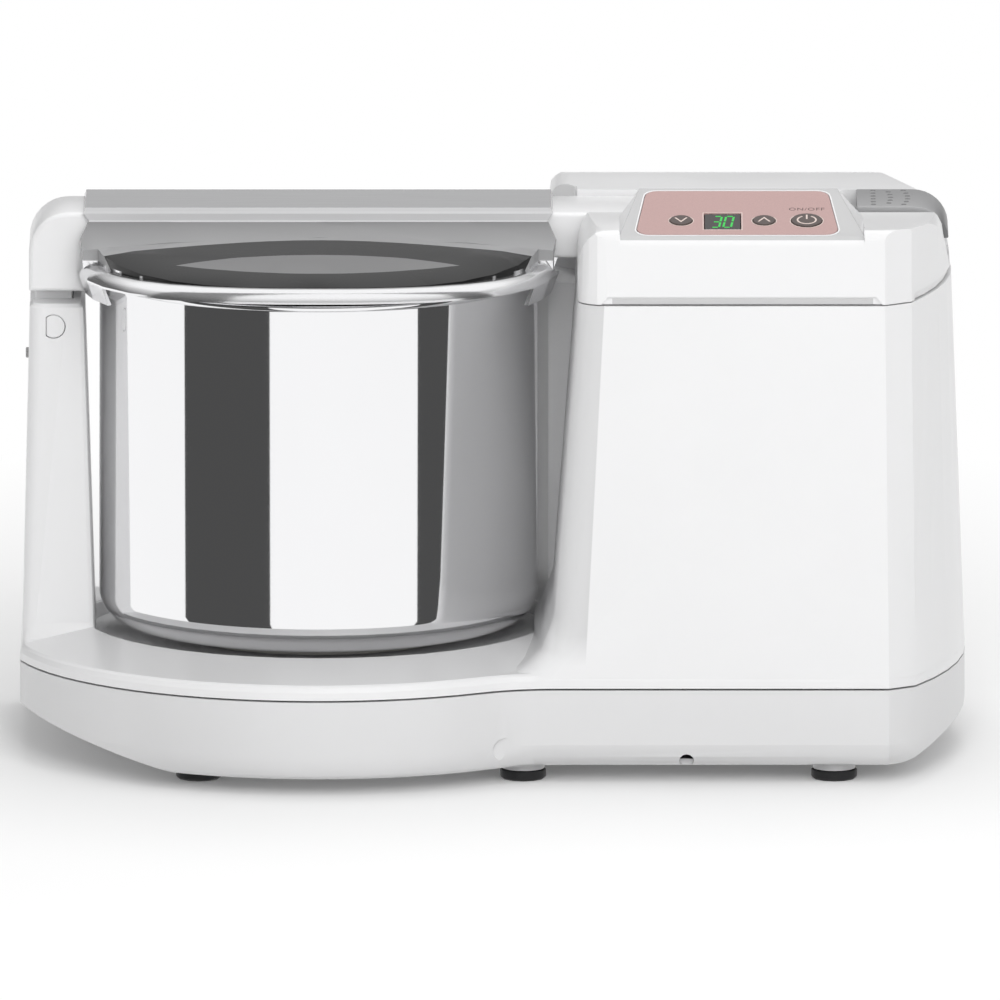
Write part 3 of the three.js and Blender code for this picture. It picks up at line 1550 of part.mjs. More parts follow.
// A square end frame with a bearing bore and four legs that meet the stator's corners.
function motorFrame(low, legFrom, legTo) {
  const half = frameHalf;
  const corner = bossRadius + seat;
  const plan = [[-half, corner - half], [corner - half, -half], [half - corner, -half], [half, corner - half],
    [half, half - corner], [half - corner, half], [corner - half, half], [-half, half - corner]];
  const plate = upward(plan, low, low + frameHeight);
  const reach = statorHalf - bossInset;
  const legs = [[-1, -1], [1, -1], [1, 1], [-1, 1]].map(([i, j]) => {
    return upright(bossRadius, legFrom, legTo, i * reach, j * reach, smallTurn);
  });
  const bore = upright(frameBore, low - overrun, low + frameHeight + overrun, 0, 0, turn);
  const [inner, outer] = [shaftRadius + seat, frameBore + seat];
  const high = low + frameHeight;
  const ring = turned([[inner, low], [outer, low], [outer, high], [inner, high]], turn);
  return atMotor(join(cut(join(plate, ...legs), bore), ring));
}

// The lower frame lies on the pan's bosses and carries the stator, which carries the upper frame.
function lowerFrameBottom() {
  return stackBottom - windingHeight - frameHeight - 2 * seat;
}

function upperFrameBottom() {
  return stackTop + windingHeight + 2 * seat;
}

function motorFrameLower() {
  return motorFrame(lowerFrameBottom(), lowerFrameBottom(), stackBottom - seat);
}

function motorFrameUpper() {
  return motorFrame(upperFrameBottom(), stackTop + seat, upperFrameBottom() + frameHeight);
}

// The fan over the upper frame.
function coolingFan() {
  const low = upperFrameBottom() + frameHeight + wall;
  const high = low + fanHeight;
  const bore = shaftRadius + seat;
  const hub = turned([[bore, low], [fanHubRadius, low], [fanHubRadius, high], [bore, high]], turn);
  const inner = fanHubRadius - seat;
  const discTop = low + fanBladeThickness;
  const disc = turned([[inner, low], [fanRadius, low], [fanRadius, discTop], [inner, discTop]], turn);
  const blades = [];
  for (let i = 0; i < fanBlades; i += 1) {
    const blade = block(fanBladeStart, fanRadius - fanBladeThickness, -fanBladeThickness / 2,
      fanBladeThickness / 2, low + seat, high);
    blades.push(blade.rotateZ((2 * Math.PI * i) / fanBlades));
  }
  return atMotor(join(hub, disc, ...blades));
}

function footPad({ x, y }) {
  const sole = footRadius - footSoftness;
  const profile = [[0, 0], [sole, 0], [footRadius, footSoftness], [footRadius, padHeight]];
  return turned([...profile, [0, padHeight]], smallTurn).translate(x, y, 0);
}

// The empty inlet for the mains lead in the pan's back wall.
function cordInlet() {
  const flange = glandRadius + glandFlange;
  const face = wall + seat;
  const profile = [[glandBore, -wall], [glandRadius, -wall], [glandRadius, face], [flange, face],
    [flange, face + glandLip], [glandBore, face + glandLip]];
  return turned(profile, turn).rotateX(-Math.PI / 2).translate(glandX, bodyBack - wall, glandHeight);
}

// Colours and finishes
function finish(color, roughness, metalness = 0) {
  return new THREE.MeshStandardMaterial({ color, roughness, metalness });
}

const white = finish(0xf2f2f0, 0.38);
const pink = finish(0xcf9a9a, 0.45);
const grey = finish(0x9a9b9e, 0.42);
const smoke = finish(0x6d6e71, 0.2);
const darkGlass = finish(0x141a16, 0.15);
const black = finish(0x1c1c1e, 0.7);
const board = finish(0x2d5a3a, 0.6);
const keyGrey = finish(0x8c8688, 0.5);
const mirrorSteel = finish(0xc9cacc, 0.08, 1);
const steel = finish(0xa9abae, 0.35, 1);
const laminated = finish(0x70747a, 0.5, 1);
const copper = finish(0xb5672f, 0.4, 1);
const aluminium = finish(0xb4b6b8, 0.45, 1);
const brass = finish(0xb89a55, 0.4, 1);
const granite = finish(0x5a5a5c, 0.8);
const nylon = finish(0xe4e2da, 0.5);

const grinder = new THREE.Group();

function place(name, geometry, material) {
  const mesh = new THREE.Mesh(geometry, material);
  mesh.name = name;
  grinder.add(mesh);
}

// Body
place("base_pan", basePan(), white);
place("upper_housing", upperHousing(), white);
place("top_cover", topCover(), white);
place("cord_inlet", cordInlet(), black);
for (const foot of footPlaces()) place(`foot_${foot.name}`, footPad(foot), black);

// Control panel
place("control_panel", controlPanel(), pink);
place("display_window", displayWindow(), darkGlass);
place("display_module", displayModule(), black);
place("control_board", controlBoard(), board);
for (const key of keys) place(key.name, keyCap(key), keyGrey);

// Arm and its hinge
place("arm", armBody(), white);
place("arm_fork", armFork(), nylon);
place("arm_strike", armStrike(), steel);
place("hinge_pin", hingePin(), steel);
place("pin_plug", pinPlug(), white);
place("side_bumper", bumper(), black);
place("lid", lid(), smoke);

// Latch
place("latch_lever", latchLever(), grey);
place("latch_pin", latchPin(), steel);

// Drum and stones
place("drum_shell", drumShell(), mirrorSteel);
place("drive_ring", driveRing(), nylon);
place("stone_bed", stoneBed(), granite);
place("centre_pin", centrePin(), steel);
place("stone_rear", conicalStone(1), granite);
place("stone_front", conicalStone(-1), granite);
place("axle_rear", stoneAxle(1), steel);
place("axle_front", stoneAxle(-1), steel);
place("stone_holder", stoneHolder(), nylon);
place("wiper", wiper(), nylon);

// Drive
place("spindle", spindle(), steel);
place("spindle_housing", spindleHousing(), aluminium);
place("spindle_bearing_lower", spindleBearing(housingTubeBottom + seat), brass);
place("spindle_bearing_upper", spindleBearing(housingTubeBottom + bearingHeight + 2 * seat), brass);
place("driven_pulley", drivenPulley(), aluminium);
place("drive_belt", driveBelt(), black);
place("motor_pulley", motorPulley(), aluminium);

// Motor
place("motor_stator", motorStator(), laminated);
place("winding_lower", motorWinding(stackBottom - windingHeight - seat), copper);
place("winding_upper", motorWinding(stackTop + seat), copper);
place("motor_rotor", motorRotor(), steel);
place("motor_frame_lower", motorFrameLower(), aluminium);
place("motor_frame_upper", motorFrameUpper(), aluminium);
place("cooling_fan", coolingFan(), nylon);

// The origin lies on the table under the middle of the body.
const backReach = bodyBack + seat + glandLip;
grinder.position.set((leftReach - rightReach) / 2, (bulgeRadius - backReach) / 2, 0);

export default grinder;
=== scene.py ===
import json
import math

import bmesh
import bpy
from bpy.props import FloatProperty, FloatVectorProperty, IntProperty, PointerProperty
from mathutils import Matrix, Vector
from mathutils.geometry import convex_hull_2d


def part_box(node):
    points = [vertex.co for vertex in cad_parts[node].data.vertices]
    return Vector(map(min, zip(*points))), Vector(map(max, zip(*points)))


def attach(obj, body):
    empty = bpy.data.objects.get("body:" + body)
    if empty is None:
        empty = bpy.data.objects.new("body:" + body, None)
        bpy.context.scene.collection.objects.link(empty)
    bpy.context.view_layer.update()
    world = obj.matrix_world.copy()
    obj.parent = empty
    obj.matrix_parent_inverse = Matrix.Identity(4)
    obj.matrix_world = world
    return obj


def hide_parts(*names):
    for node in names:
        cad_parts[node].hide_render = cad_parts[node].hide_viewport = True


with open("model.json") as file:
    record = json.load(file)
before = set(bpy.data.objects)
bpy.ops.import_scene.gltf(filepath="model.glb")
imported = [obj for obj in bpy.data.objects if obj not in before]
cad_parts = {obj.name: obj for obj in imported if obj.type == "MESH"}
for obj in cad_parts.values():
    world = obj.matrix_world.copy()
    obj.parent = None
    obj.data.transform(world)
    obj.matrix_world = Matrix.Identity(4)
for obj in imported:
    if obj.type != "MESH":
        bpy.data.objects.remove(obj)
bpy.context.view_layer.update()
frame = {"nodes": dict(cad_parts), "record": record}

bl_info = {
    "name": "Wet Grinder",
    "version": (1, 0, 0),
    "blender": (4, 5, 0),
    "location": "View3D > Sidebar > Wet Grinder",
    "description": "Dresses the table-top wet grinder's frame and sets its stage",
    "category": "Object",
}

MM = 0.001
KEYS = ("key_down", "key_up", "key_power")
PURE_WHITE = (1.0, 1.0, 1.0, 1.0)
# The angle in degrees from which an edge counts as creased, and is sharp or softened.
CREASE = 32.0
# How far a printed line stands over its face.
PRINT_RISE = 0.06 * MM
# The lid's parts as shares of its tint: a pair to blend between, or one share. These pairs are
# painted light: the slope's pair is painted shade, darker downward; the flank and crown paint the
# white arm seen through the smoke; the dome's pair is a painted reflection.
LID_PAINTED_RANGES = {
    "slope": (1.15, 0.68),
    "flank": (1.58, 1.7),
    "crown": (1.46, 1.6),
    "dome": (0.09, 0.12),
}
# Of these shares the crease is a painted highlight, the dome's foot a painted reflection darker
# towards the rim, and the lens paints the drum wall seen through the dome; the rim's share is its
# own chrome colour.
LID_PAINTED_AND_RIM_SHARES = {"crease": 2.5, "dome_foot": 0.04, "lens": 0.54, "rim": 2.45}
# Each line that bounds the painted shade band up the tower's left corner: a level, where the line
# lies there, and its lean.
BAND_CREASE = (50.5 * MM, 41.9 * MM, 0.0513)
BAND_WALL = (77.4 * MM, 27.4 * MM, 0.076)
# The bearings between which each dark flag stands, in degrees from straight in front.
FLAGS = ((-74.8, -25.4), (53.8, 78.7))
# Each soft box: its name, its place and its side in metres, and its share of the key's power.
SOFT_BOXES = (
    ("front box", (0.32, -1.75, 1.1), 1.2, 1.0),
    ("top box", (0.1, 0.45, 1.6), 1.0, 0.62),
    ("fill box", (0.04, -1.9, 0.75), 0.3, 0.25),
)


# Shader expressions


class Wire:
    """A socket in a node tree. Arithmetic on it adds Math nodes."""

    def __init__(self, tree, socket):
        self.tree = tree
        self.socket = socket

    def _math(self, operation, first, second=0.0):
        node = self.tree.nodes.new("ShaderNodeMath")
        node.operation = operation
        for place, value in enumerate((first, second)):
            if isinstance(value, Wire):
                self.tree.links.new(value.socket, node.inputs[place])
            else:
                node.inputs[place].default_value = value
        return Wire(self.tree, node.outputs[0])

    def __add__(self, other):
        return self._math("ADD", self, other)

    def __radd__(self, other):
        return self._math("ADD", other, self)

    def __sub__(self, other):
        return self._math("SUBTRACT", self, other)

    def __rsub__(self, other):
        return self._math("SUBTRACT", other, self)

    def __mul__(self, other):
        return self._math("MULTIPLY", self, other)

    def __rmul__(self, other):
        return self._math("MULTIPLY", other, self)

    def __truediv__(self, other):
        return self._math("DIVIDE", self, other)

    def __gt__(self, other):
        return self._math("GREATER_THAN", self, other)

    def __lt__(self, other):
        return self._math("LESS_THAN", self, other)

    def power(self, exponent):
        return self._math("POWER", self, exponent)

    def size(self):
        """The value without its sign."""
        return self._math("ABSOLUTE", self)

    def bearing(self, ahead):
        """The angle of a direction that reaches this far across and so far ahead."""
        return self._math("ARCTAN2", self, ahead)

    def zigzag(self, pitch):
        """Rises to one over a pitch and falls back to nothing over the next."""
        return self._math("PINGPONG", self, pitch) / pitch

    def clamped(self):
        """The value kept between nothing and one."""
        wire = self._math("ADD", self, 0.0)
        wire.socket.node.use_clamp = True
        return wire


class Finish:
    """A node tree under construction, of a material or of the world."""

    def __init__(self, owner):
        self.owner = owner
        owner.use_nodes = True
        self.tree = owner.node_tree
        self.tree.nodes.clear()

    def node(self, kind, settings=None, sockets=None, output=0):
        """Adds a node, sets it up, fills its sockets and returns one of its outputs."""
        made = self.tree.nodes.new(kind)
        for name, value in (settings or {}).items():
            setattr(made, name, value)
        for name, value in (sockets or {}).items():
            socket = made.inputs[name]
            if isinstance(value, Wire):
                self.tree.links.new(value.socket, socket)
            else:
                socket.default_value = value
        return Wire(self.tree, made.outputs[output])

    def place(self):
        """The point on the surface, in metres, in the object's own frame."""
        return self.node("ShaderNodeTexCoord", output="Object")

    def split(self, vector, axis):
        return self.node("ShaderNodeSeparateXYZ", sockets={0: vector}, output=axis)

    def vector(self, operation, sockets, output="Vector"):
        return self.node("ShaderNodeVectorMath", {"operation": operation}, sockets, output)

    def along(self, vector, direction):
        """How far the vector reaches in a direction."""
        return self.vector("DOT_PRODUCT", {0: vector, 1: direction}, "Value")

    def noise(self, vector, scale, detail=2.0, roughness=0.5):
        return self.node(
            "ShaderNodeTexNoise",
            {"noise_dimensions": "3D"},
            {"Vector": vector, "Scale": scale, "Detail": detail, "Roughness": roughness},
            "Fac",
        )

    def streaks(self, vector, scales, detail=2.0, roughness=0.5):
        """Noise with a scale of its own along each axis."""
        stretched = self.vector("MULTIPLY", {0: vector, 1: scales})
        return self.noise(stretched, 1.0, detail, roughness)

    def grains(self, vector, scale):
        return self.node(
            "ShaderNodeTexVoronoi",
            {"feature": "F1"},
            {"Vector": vector, "Scale": scale},
            "Distance",
        )

    def blend(self, share, first, second):
        """One colour fading to another."""
        return self.node(
            "ShaderNodeMix",
            {"data_type": "RGBA"},
            {0: share, 6: first, 7: second},
            2,
        )

    def bump(self, height, distance, strength=1.0):
        sockets = {"Height": height, "Distance": distance, "Strength": strength}
        return self.node("ShaderNodeBump", sockets=sockets)

    def surface(self, shader):
        """Ends the tree with a shader, and returns the material or the world."""
        world = isinstance(self.owner, bpy.types.World)
        kind = "ShaderNodeOutputWorld" if world else "ShaderNodeOutputMaterial"
        made = self.tree.nodes.new(kind)
        self.tree.links.new(shader.socket, made.inputs["Surface"])
        return self.owner

    def principled(self, sockets):
        return self.surface(self.node("ShaderNodeBsdfPrincipled", sockets=sockets))


def new_finish(name):
    return Finish(bpy.data.materials.new(name))


# Finishes. A maker's tone is a function that changes the colour by place; some tones paint shade
# into the colour.


def darker(colour, share):
    """The colour multiplied by a share, or paler for a share over one."""
    return (*(value * share for value in colour[:3]), 1.0)


def moulded(name, colour, roughness, tone=None):
    """Moulded plastic: a fine spark-eroded grain, with faint sheen changes over broad areas."""
    finish = new_finish(name)
    place = finish.place()
    grain = finish.noise(place, 2600.0, roughness=0.6)
    cloud = finish.noise(place, 26.0, detail=3.0)
    shade = finish.blend((cloud * 1.6 - 0.3).clamped(), darker(colour, 0.985), colour)
    if tone:
        shade = tone(finish, place, shade, colour)
    return finish.principled({
        "Base Color": shade,
        "Roughness": roughness + (cloud - 0.5) * 0.08,
        "Normal": finish.bump(grain, 0.02 * MM, 0.35),
    })


def panel_surround(panel, share):
    """A greyer tone on the face that the control panel is let into."""
    out = panel.to_3x3().col[2]
    lowest, highest = -0.9 * MM, 0.6 * MM
    left, right, half_depth = -53 * MM, 57.6 * MM, 34 * MM

    def tone(finish, place, shade, colour):
        height = finish.along(place, out) - panel.translation.dot(out)
        across = finish.split(place, "X") - panel.translation.x
        deep = (finish.split(place, "Y") - panel.translation.y).size()
        face = (height > lowest) * (height < highest) * (deep < half_depth)
        face = face * (across > left) * (across < right)
        return finish.blend(face, shade, darker(colour, share))

    return tone


def bent_down(level, share):
    """A darker tone below a level, where a piece bends out of the light."""
    fade = 4 * MM

    def tone(finish, place, shade, colour):
        drop = ((level - finish.split(place, "Z")) / fade).clamped()
        return finish.blend(drop, shade, darker(colour, share))

    return tone


def painted_reveal_shade(level, share):
    """Painted shade: a greyer strip along the front above the cover's seam, standing for the shade
    in the recessed step there, in place of the step itself.
    """
    height, left, right, front = 3.4 * MM, 54 * MM, 172 * MM, -70 * MM

    def tone(finish, place, shade, colour):
        across = finish.split(place, "X")
        rise = finish.split(place, "Z") - level
        strip = (rise < height) * (across > left) * (across < right)
        strip = strip * (finish.split(place, "Y") < front)
        return finish.blend(strip, shade, darker(colour, share))

    return tone


def leaning_line(height, level, across, lean):
    """Where an upright line that leans to one side lies at each height."""
    return (height - level) * lean + across


def opening_chamfer_shade(share):
    """Painted shade: a greyer band up the tower's left corner, from its wall to a crease that
    leans with it, standing for the shade on the chamfer there.
    """
    foot, fade, back = 56 * MM, 14 * MM, 30 * MM
    crease_blur, wall_blur = 0.4 * MM, 2 * MM
    share_at_wall = 0.92

    def tone(finish, place, shade, colour):
        across = finish.split(place, "X")
        height = finish.split(place, "Z")
        crease = leaning_line(height, *BAND_CREASE)
        wall = leaning_line(height, *BAND_WALL)
        inside = ((crease - across) / crease_blur).clamped()
        inside = inside * ((across - wall) / wall_blur).clamped()
        inside = inside * ((height - foot) / fade).clamped()
        inside = inside * (finish.split(place, "Y") < back)
        depth = ((across - wall) / (crease - wall)).clamped()
        band = finish.blend(depth, darker(colour, share_at_wall), darker(colour, share))
        return finish.blend(inside, shade, band)

    return tone


def in_turn(*tones):
    """Several changes of tone, one after another."""

    def tone(finish, place, shade, colour):
        for change in tones:
            shade = change(finish, place, shade, colour)
        return shade

    return tone


def polished_steel(name, colour, roughness):
    """Drawn steel polished to a mirror, with hair-fine rings left by the polishing wheel."""
    finish = new_finish(name)
    place = finish.place()
    rings = finish.streaks(place, (6.0, 6.0, 900.0), 3.0, 0.6)
    smears = finish.noise(place, 18.0, 3.0, 0.55)
    return finish.principled({
        "Base Color": finish.blend(smears, darker(colour, 0.97), colour),
        "Metallic": 1.0,
        "Roughness": roughness + rings * 0.03 + smears * 0.02,
    })


def machined_steel(name, colour, roughness):
    """Turned steel: fine tool marks round the piece."""
    finish = new_finish(name)
    place = finish.place()
    marks = finish.streaks(place, (900.0, 900.0, 2500.0), roughness=0.7)
    return finish.principled({
        "Base Color": finish.blend(marks, darker(colour, 0.82), colour),
        "Metallic": 1.0,
        "Roughness": roughness + (marks - 0.5) * 0.2,
        "Normal": finish.bump(marks, 0.01 * MM, 0.4),
    })


def cast_aluminium(name, colour):
    """Cast metal with the rough skin of its mould."""
    finish = new_finish(name)
    place = finish.place()
    skin = finish.noise(place, 900.0, 4.0, 0.7)
    return finish.principled({
        "Base Color": finish.blend(skin, darker(colour, 0.8), colour),
        "Metallic": 1.0,
        "Roughness": 0.42 + skin * 0.2,
        "Normal": finish.bump(skin, 0.08 * MM, 0.5),
    })


def laminated_sheet(name, colour):
    """A stack of thin sheets: dark lines at the pitch of the sheets."""
    finish = new_finish(name)
    pitch = 0.35 * MM
    line = finish.split(finish.place(), "Z").zigzag(pitch)
    return finish.principled({
        "Base Color": finish.blend(line, darker(colour, 0.35), colour),
        "Metallic": 1.0,
        "Roughness": 0.5 + line * 0.15,
        "Normal": finish.bump(line, 0.1 * MM, 0.6),
    })


def wound_wire(name, colour):
    """Enamelled wire laid side by side."""
    finish = new_finish(name)
    place = finish.place()
    wire_width = 0.4 * MM
    round_wire = finish.split(place, "Z").zigzag(wire_width)
    varnish = finish.noise(place, 400.0)
    return finish.principled({
        "Base Color": finish.blend(varnish, darker(colour, 0.6), colour),
        "Metallic": 1.0,
        "Roughness": 0.3 + varnish * 0.15,
        "Normal": finish.bump(round_wire, 0.3 * MM, 0.9),
    })


def soft_rubber(name, colour):
    """Rubber with a fine grain, paler where dust sits in it."""
    finish = new_finish(name)
    place = finish.place()
    dust = finish.noise(place, 350.0, 4.0, 0.7)
    grain = finish.noise(place, 3000.0, roughness=0.6)
    return finish.principled({
        "Base Color": finish.blend(dust, colour, darker(colour, 1.9)),
        "Roughness": 0.62 + dust * 0.2,
        "Normal": finish.bump(grain, 0.04 * MM, 0.5),
    })


def dressed_granite(name, colour):
    """Granite: dark and light crystals, with the dressing's shallow pits."""
    finish = new_finish(name)
    place = finish.place()
    crystals = finish.grains(place, 420.0)
    flecks = finish.noise(place, 700.0, 3.0, 0.7)
    dark = finish.blend((crystals * 2.2).clamped(), darker(colour, 0.35), colour)
    return finish.principled({
        "Base Color": finish.blend((flecks > 0.62) * 0.6, dark, darker(colour, 3.2)),
        "Roughness": 0.62 + flecks * 0.2,
        "Normal": finish.bump(crystals, 0.4 * MM, 0.5),
    })


def rounded_distance(across, along, exponent):
    """How far out a point lies, where a rounded square takes the place of a circle."""
    return (across.size().power(exponent) + along.size().power(exponent)).power(1.0 / exponent)


def smoke_with_painted_light(name, tint, lid):
    """Smoke-grey lid with painted light: a bright ridge painting the white arm seen through it,
    its slope painted darker downward as shade, a painted highlight on its crease, a dark dome of
    painted reflection with a paler lens painting the drum wall seen through it, and a chromed rim.
    """
    finish = new_finish(name)
    place = finish.place()
    across = (finish.split(place, "X") - lid.centre.x) / lid.across_share
    along = (finish.split(place, "Y") - lid.centre.y).size()
    height = finish.split(place, "Z")
    wipes = finish.streaks(place, (30.0, 420.0, 420.0), 3.0, 0.6)
    reach = rounded_distance(across, along, lid.squareness)
    rim = ((reach - lid.dome_reach) / lid.blur).clamped()
    rim = rim * ((lid.chrome_top - height) / lid.blur).clamped()
    ridge = ((lid.foot + (height - lid.dome_top) * lid.slope - along) / lid.blur).clamped()
    lens = lid.lens_arc(across, along, lid.lens_near)
    lens = lens * lid.lens_arc(across, along, lid.lens_far)
    wall = ((height - lid.wall_bottom) / lid.blur).clamped()
    top = ((height - lid.wall_top) / lid.blur).clamped()
    crease = (1.0 - (height - lid.wall_bottom).size() / lid.crease).clamped()
    fall = ((height - lid.rim_top) / (lid.wall_bottom - lid.rim_top)).clamped()
    foot = ((reach - lid.dome_foot) / (lid.dome_reach - lid.dome_foot)).clamped()

    def ranged(share, part):
        first, second = LID_PAINTED_RANGES[part]
        return finish.blend(share, darker(tint, first), darker(tint, second))

    def covered(mask, skin, part):
        return finish.blend(mask, skin, darker(tint, LID_PAINTED_AND_RIM_SHARES[part]))

    # Painted light: the ridge's flank and crown paint the white arm seen through the smoke, its
    # slope is painted shade darker downward, and the crease is a painted highlight.
    flank = finish.blend(top, ranged(wipes, "flank"), ranged(wipes, "crown"))
    flank = finish.blend(wall, ranged(fall, "slope"), flank)
    flank = covered(crease, flank, "crease")
    # Painted light: the dome's dark tone and its darker foot are a painted reflection, and the
    # lens paints the drum wall seen through the dome.
    dome = covered(foot, ranged(wipes, "dome"), "dome_foot")
    dome = covered(lens, dome, "lens")
    skin = covered(rim, finish.blend(ridge, dome, flank), "rim")
    return finish.principled({
        "Base Color": skin,
        "Metallic": rim * 0.95,
        "Roughness": 0.14 + wipes * 0.05,
        "Specular IOR Level": 0.22,
        "Alpha": 1.0 - ridge * 0.05,
    })


def printed_enamel(name, colour):
    """A printed film: a pearly fleck in the colour and a soft gloss."""
    finish = new_finish(name)
    place = finish.place()
    pearl = finish.noise(place, 1500.0, 4.0, 0.8)
    return finish.principled({
        "Base Color": finish.blend(pearl, darker(colour, 0.76), darker(colour, 1.2)),
        "Roughness": 0.34 + pearl * 0.12,
        "Normal": finish.bump(pearl, 0.02 * MM, 0.3),
    })


def lit_segments(name, colour, strength):
    """Lit segments of a display, a little uneven."""
    finish = new_finish(name)
    glow = finish.noise(finish.place(), 900.0)
    return finish.principled({
        "Base Color": darker(colour, 0.2),
        "Roughness": 0.4,
        "Emission Color": finish.blend(glow, darker(colour, 0.8), colour),
        "Emission Strength": strength,
    })


def coated_board(name, colour):
    """A circuit board: the pale lines of its tracks under a coat of lacquer."""
    finish = new_finish(name)
    place = finish.place()
    tracks = finish.streaks(place, (900.0, 120.0, 900.0), detail=0.0)
    return finish.principled({
        "Base Color": finish.blend((tracks > 0.55) * 0.7, colour, darker(colour, 1.6)),
        "Roughness": 0.35 + tracks * 0.1,
        "Normal": finish.bump(tracks, 0.03 * MM, 0.4),
    })


# Shapes


def middle(node):
    """The centre of a node's box."""
    low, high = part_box(node)
    return (low + high) / 2


def node_skin(node):
    """The node's own surface with its flat faces joined, ready for soft edges."""
    weld, flatness = 2e-6, math.radians(0.4)
    skin = bmesh.new()
    skin.from_mesh(frame["nodes"][node].data)
    bmesh.ops.remove_doubles(skin, verts=skin.verts, dist=weld)
    bmesh.ops.dissolve_limit(skin, angle_limit=flatness, verts=skin.verts, edges=skin.edges)
    return skin


def arc(centre, radius, start, end, steps):
    """Points round part of a circle, from one angle to another in degrees."""
    points = []
    for i in range(steps + 1):
        angle = math.radians(start + (end - start) * i / steps)
        points.append((centre[0] + radius * math.cos(angle), centre[1] + radius * math.sin(angle)))
    return points


def lathe(profile, centre, steps):
    """A closed profile of (radius, height) pairs turned about an upright axis."""
    skin = bmesh.new()
    rings = []
    for i in range(steps):
        turn = 2 * math.pi * i / steps
        ring = [
            skin.verts.new((centre[0] + r * math.cos(turn), centre[1] + r * math.sin(turn), z))
            for r, z in profile
        ]
        rings.append(ring)
    count = len(profile)
    for i in range(steps):
        here, there = rings[i], rings[(i + 1) % steps]
        for j in range(count):
            k = (j + 1) % count
            skin.faces.new((here[j], there[j], there[k], here[k]))
    bmesh.ops.remove_doubles(skin, verts=skin.verts, dist=1e-7)
    bmesh.ops.recalc_face_normals(skin, faces=skin.faces)
    return skin


def slab(outline, low, high):
    """An outline of (x, y) pairs made into a plate between two heights."""
    skin = bmesh.new()
    under = [skin.verts.new((x, y, low)) for x, y in outline]
    over = [skin.verts.new((x, y, high)) for x, y in outline]
    skin.faces.new(list(reversed(under)))
    skin.faces.new(over)
    for i in range(len(outline)):
        k = (i + 1) % len(outline)
        skin.faces.new((under[i], under[k], over[k], over[i]))
    return skin


def make_piece(name, skin, body, material, replaced=(), edge=0.0, crease=CREASE):
    """Turns a skin into a piece that rides on a body, with soft edges where it is creased."""
    mesh = bpy.data.meshes.new(name)
    skin.to_mesh(mesh)
    skin.free()
    mesh.materials.append(material)
    mesh.shade_smooth()
    mesh.set_sharp_from_angle(angle=math.radians(crease))
    piece = bpy.data.objects.new(name, mesh)
    bpy.context.scene.collection.objects.link(piece)
    if edge:
        bevel = piece.modifiers.new("soft edges", "BEVEL")
        bevel.width = edge
        bevel.segments = 3
        bevel.limit_method = "ANGLE"
        bevel.angle_limit = math.radians(crease)
        bevel.harden_normals = True
    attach(piece, body)
    if replaced:
        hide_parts(*replaced)


def outline_ring(outer, inner, low, high):
    """A flat band between two outlines of the same number of points."""
    skin = bmesh.new()
    loops = []
    for outline, height in ((outer, low), (outer, high), (inner, high), (inner, low)):
        loops.append([skin.verts.new((x, y, height)) for x, y in outline])
    count = len(outer)
    for here, there in zip(loops, loops[1:] + loops[:1]):
        for i in range(count):
            k = (i + 1) % count
            skin.faces.new((here[i], here[k], there[k], there[i]))
    bmesh.ops.recalc_face_normals(skin, faces=skin.faces)
    return skin


def stroke(points, width):
    """A line of even width through a few points, as an outline with mitred corners."""
    sharpest_mitre = 0.4
    left, right = [], []
    for i, point in enumerate(points):
        before = Vector(point) - Vector(points[max(i - 1, 0)])
        after = Vector(points[min(i + 1, len(points) - 1)]) - Vector(point)
        ahead = (before.normalized() + after.normalized()).normalized()
        side = Vector((-ahead.y, ahead.x))
        leg = after if after.length else before
        cosine = max(ahead.dot(leg.normalized()), sharpest_mitre)
        reach = side * (width / 2 / cosine)
        left.append((point[0] + reach.x, point[1] + reach.y))
        right.append((point[0] - reach.x, point[1] - reach.y))
    return left + right[::-1]


def merge_skins(skins):
    """Several skins as one."""
    whole = bmesh.new()
    for skin in skins:
        mesh = bpy.data.meshes.new("part")
        skin.to_mesh(mesh)
        skin.free()
        whole.from_mesh(mesh)
        bpy.data.meshes.remove(mesh)
    bmesh.ops.recalc_face_normals(whole, faces=whole.faces)
    return whole


def broad_face(node):
    """The widest upward face of a node: its frame, with X across the machine, and its outline."""
    level_slack, least_rise = 0.03 * MM, 0.5
    skin = node_skin(node)
    face = max((f for f in skin.faces if f.normal.z > least_rise), key=lambda f: f.calc_area())
    out = face.normal.copy()
    level = face.verts[0].co.dot(out)
    right = Vector((1.0, 0.0, 0.0))
    up = out.cross(right).normalized()
    flat = [v.co for v in skin.verts if abs(v.co.dot(out) - level) < level_slack]
    spots = [Vector((place.dot(right), place.dot(up))) for place in flat]
    skin.free()
    centre = [(min(s[i] for s in spots) + max(s[i] for s in spots)) / 2 for i in range(2)]
    spots = [spot - Vector(centre) for spot in spots]
    outline = [tuple(spots[i]) for i in convex_hull_2d(spots)]
    turn = Matrix((right, up, out)).transposed().to_4x4()
    origin = right * centre[0] + up * centre[1] + out * level
    return Matrix.Translation(origin) @ turn, outline


def widened(outline, margin):
    """The outline pushed outward by a margin, or inward by a negative one."""
    half = [max(abs(point[i]) for point in outline) for i in range(2)]
    return [(x * (1 + margin / half[0]), y * (1 + margin / half[1])) for x, y in outline]


def print_piece(name, skin, place, body, material):
    """A flat skin drawn in a face's own frame and laid on that face."""
    bmesh.ops.transform(skin, matrix=place, verts=skin.verts)
    make_piece(name, skin, body, material)


def body_of(node):
    """The body that a node belongs to."""
    for body, members in frame["record"]["behaviour"]["bodies"].items():
        if node in members:
            return body
    raise KeyError(node)


def soften(node, material, edge):
    """A copy of a node with softened edges, standing for the node."""
    name, skin = f"{node}_moulding", node_skin(node)
    make_piece(name, skin, body_of(node), material, (node,), edge)


def coat_node(node, material):
    """Gives a node that keeps its own shape a better finish."""
    mesh = frame["nodes"][node].data
    mesh.materials.clear()
    mesh.materials.append(material)


# Settings


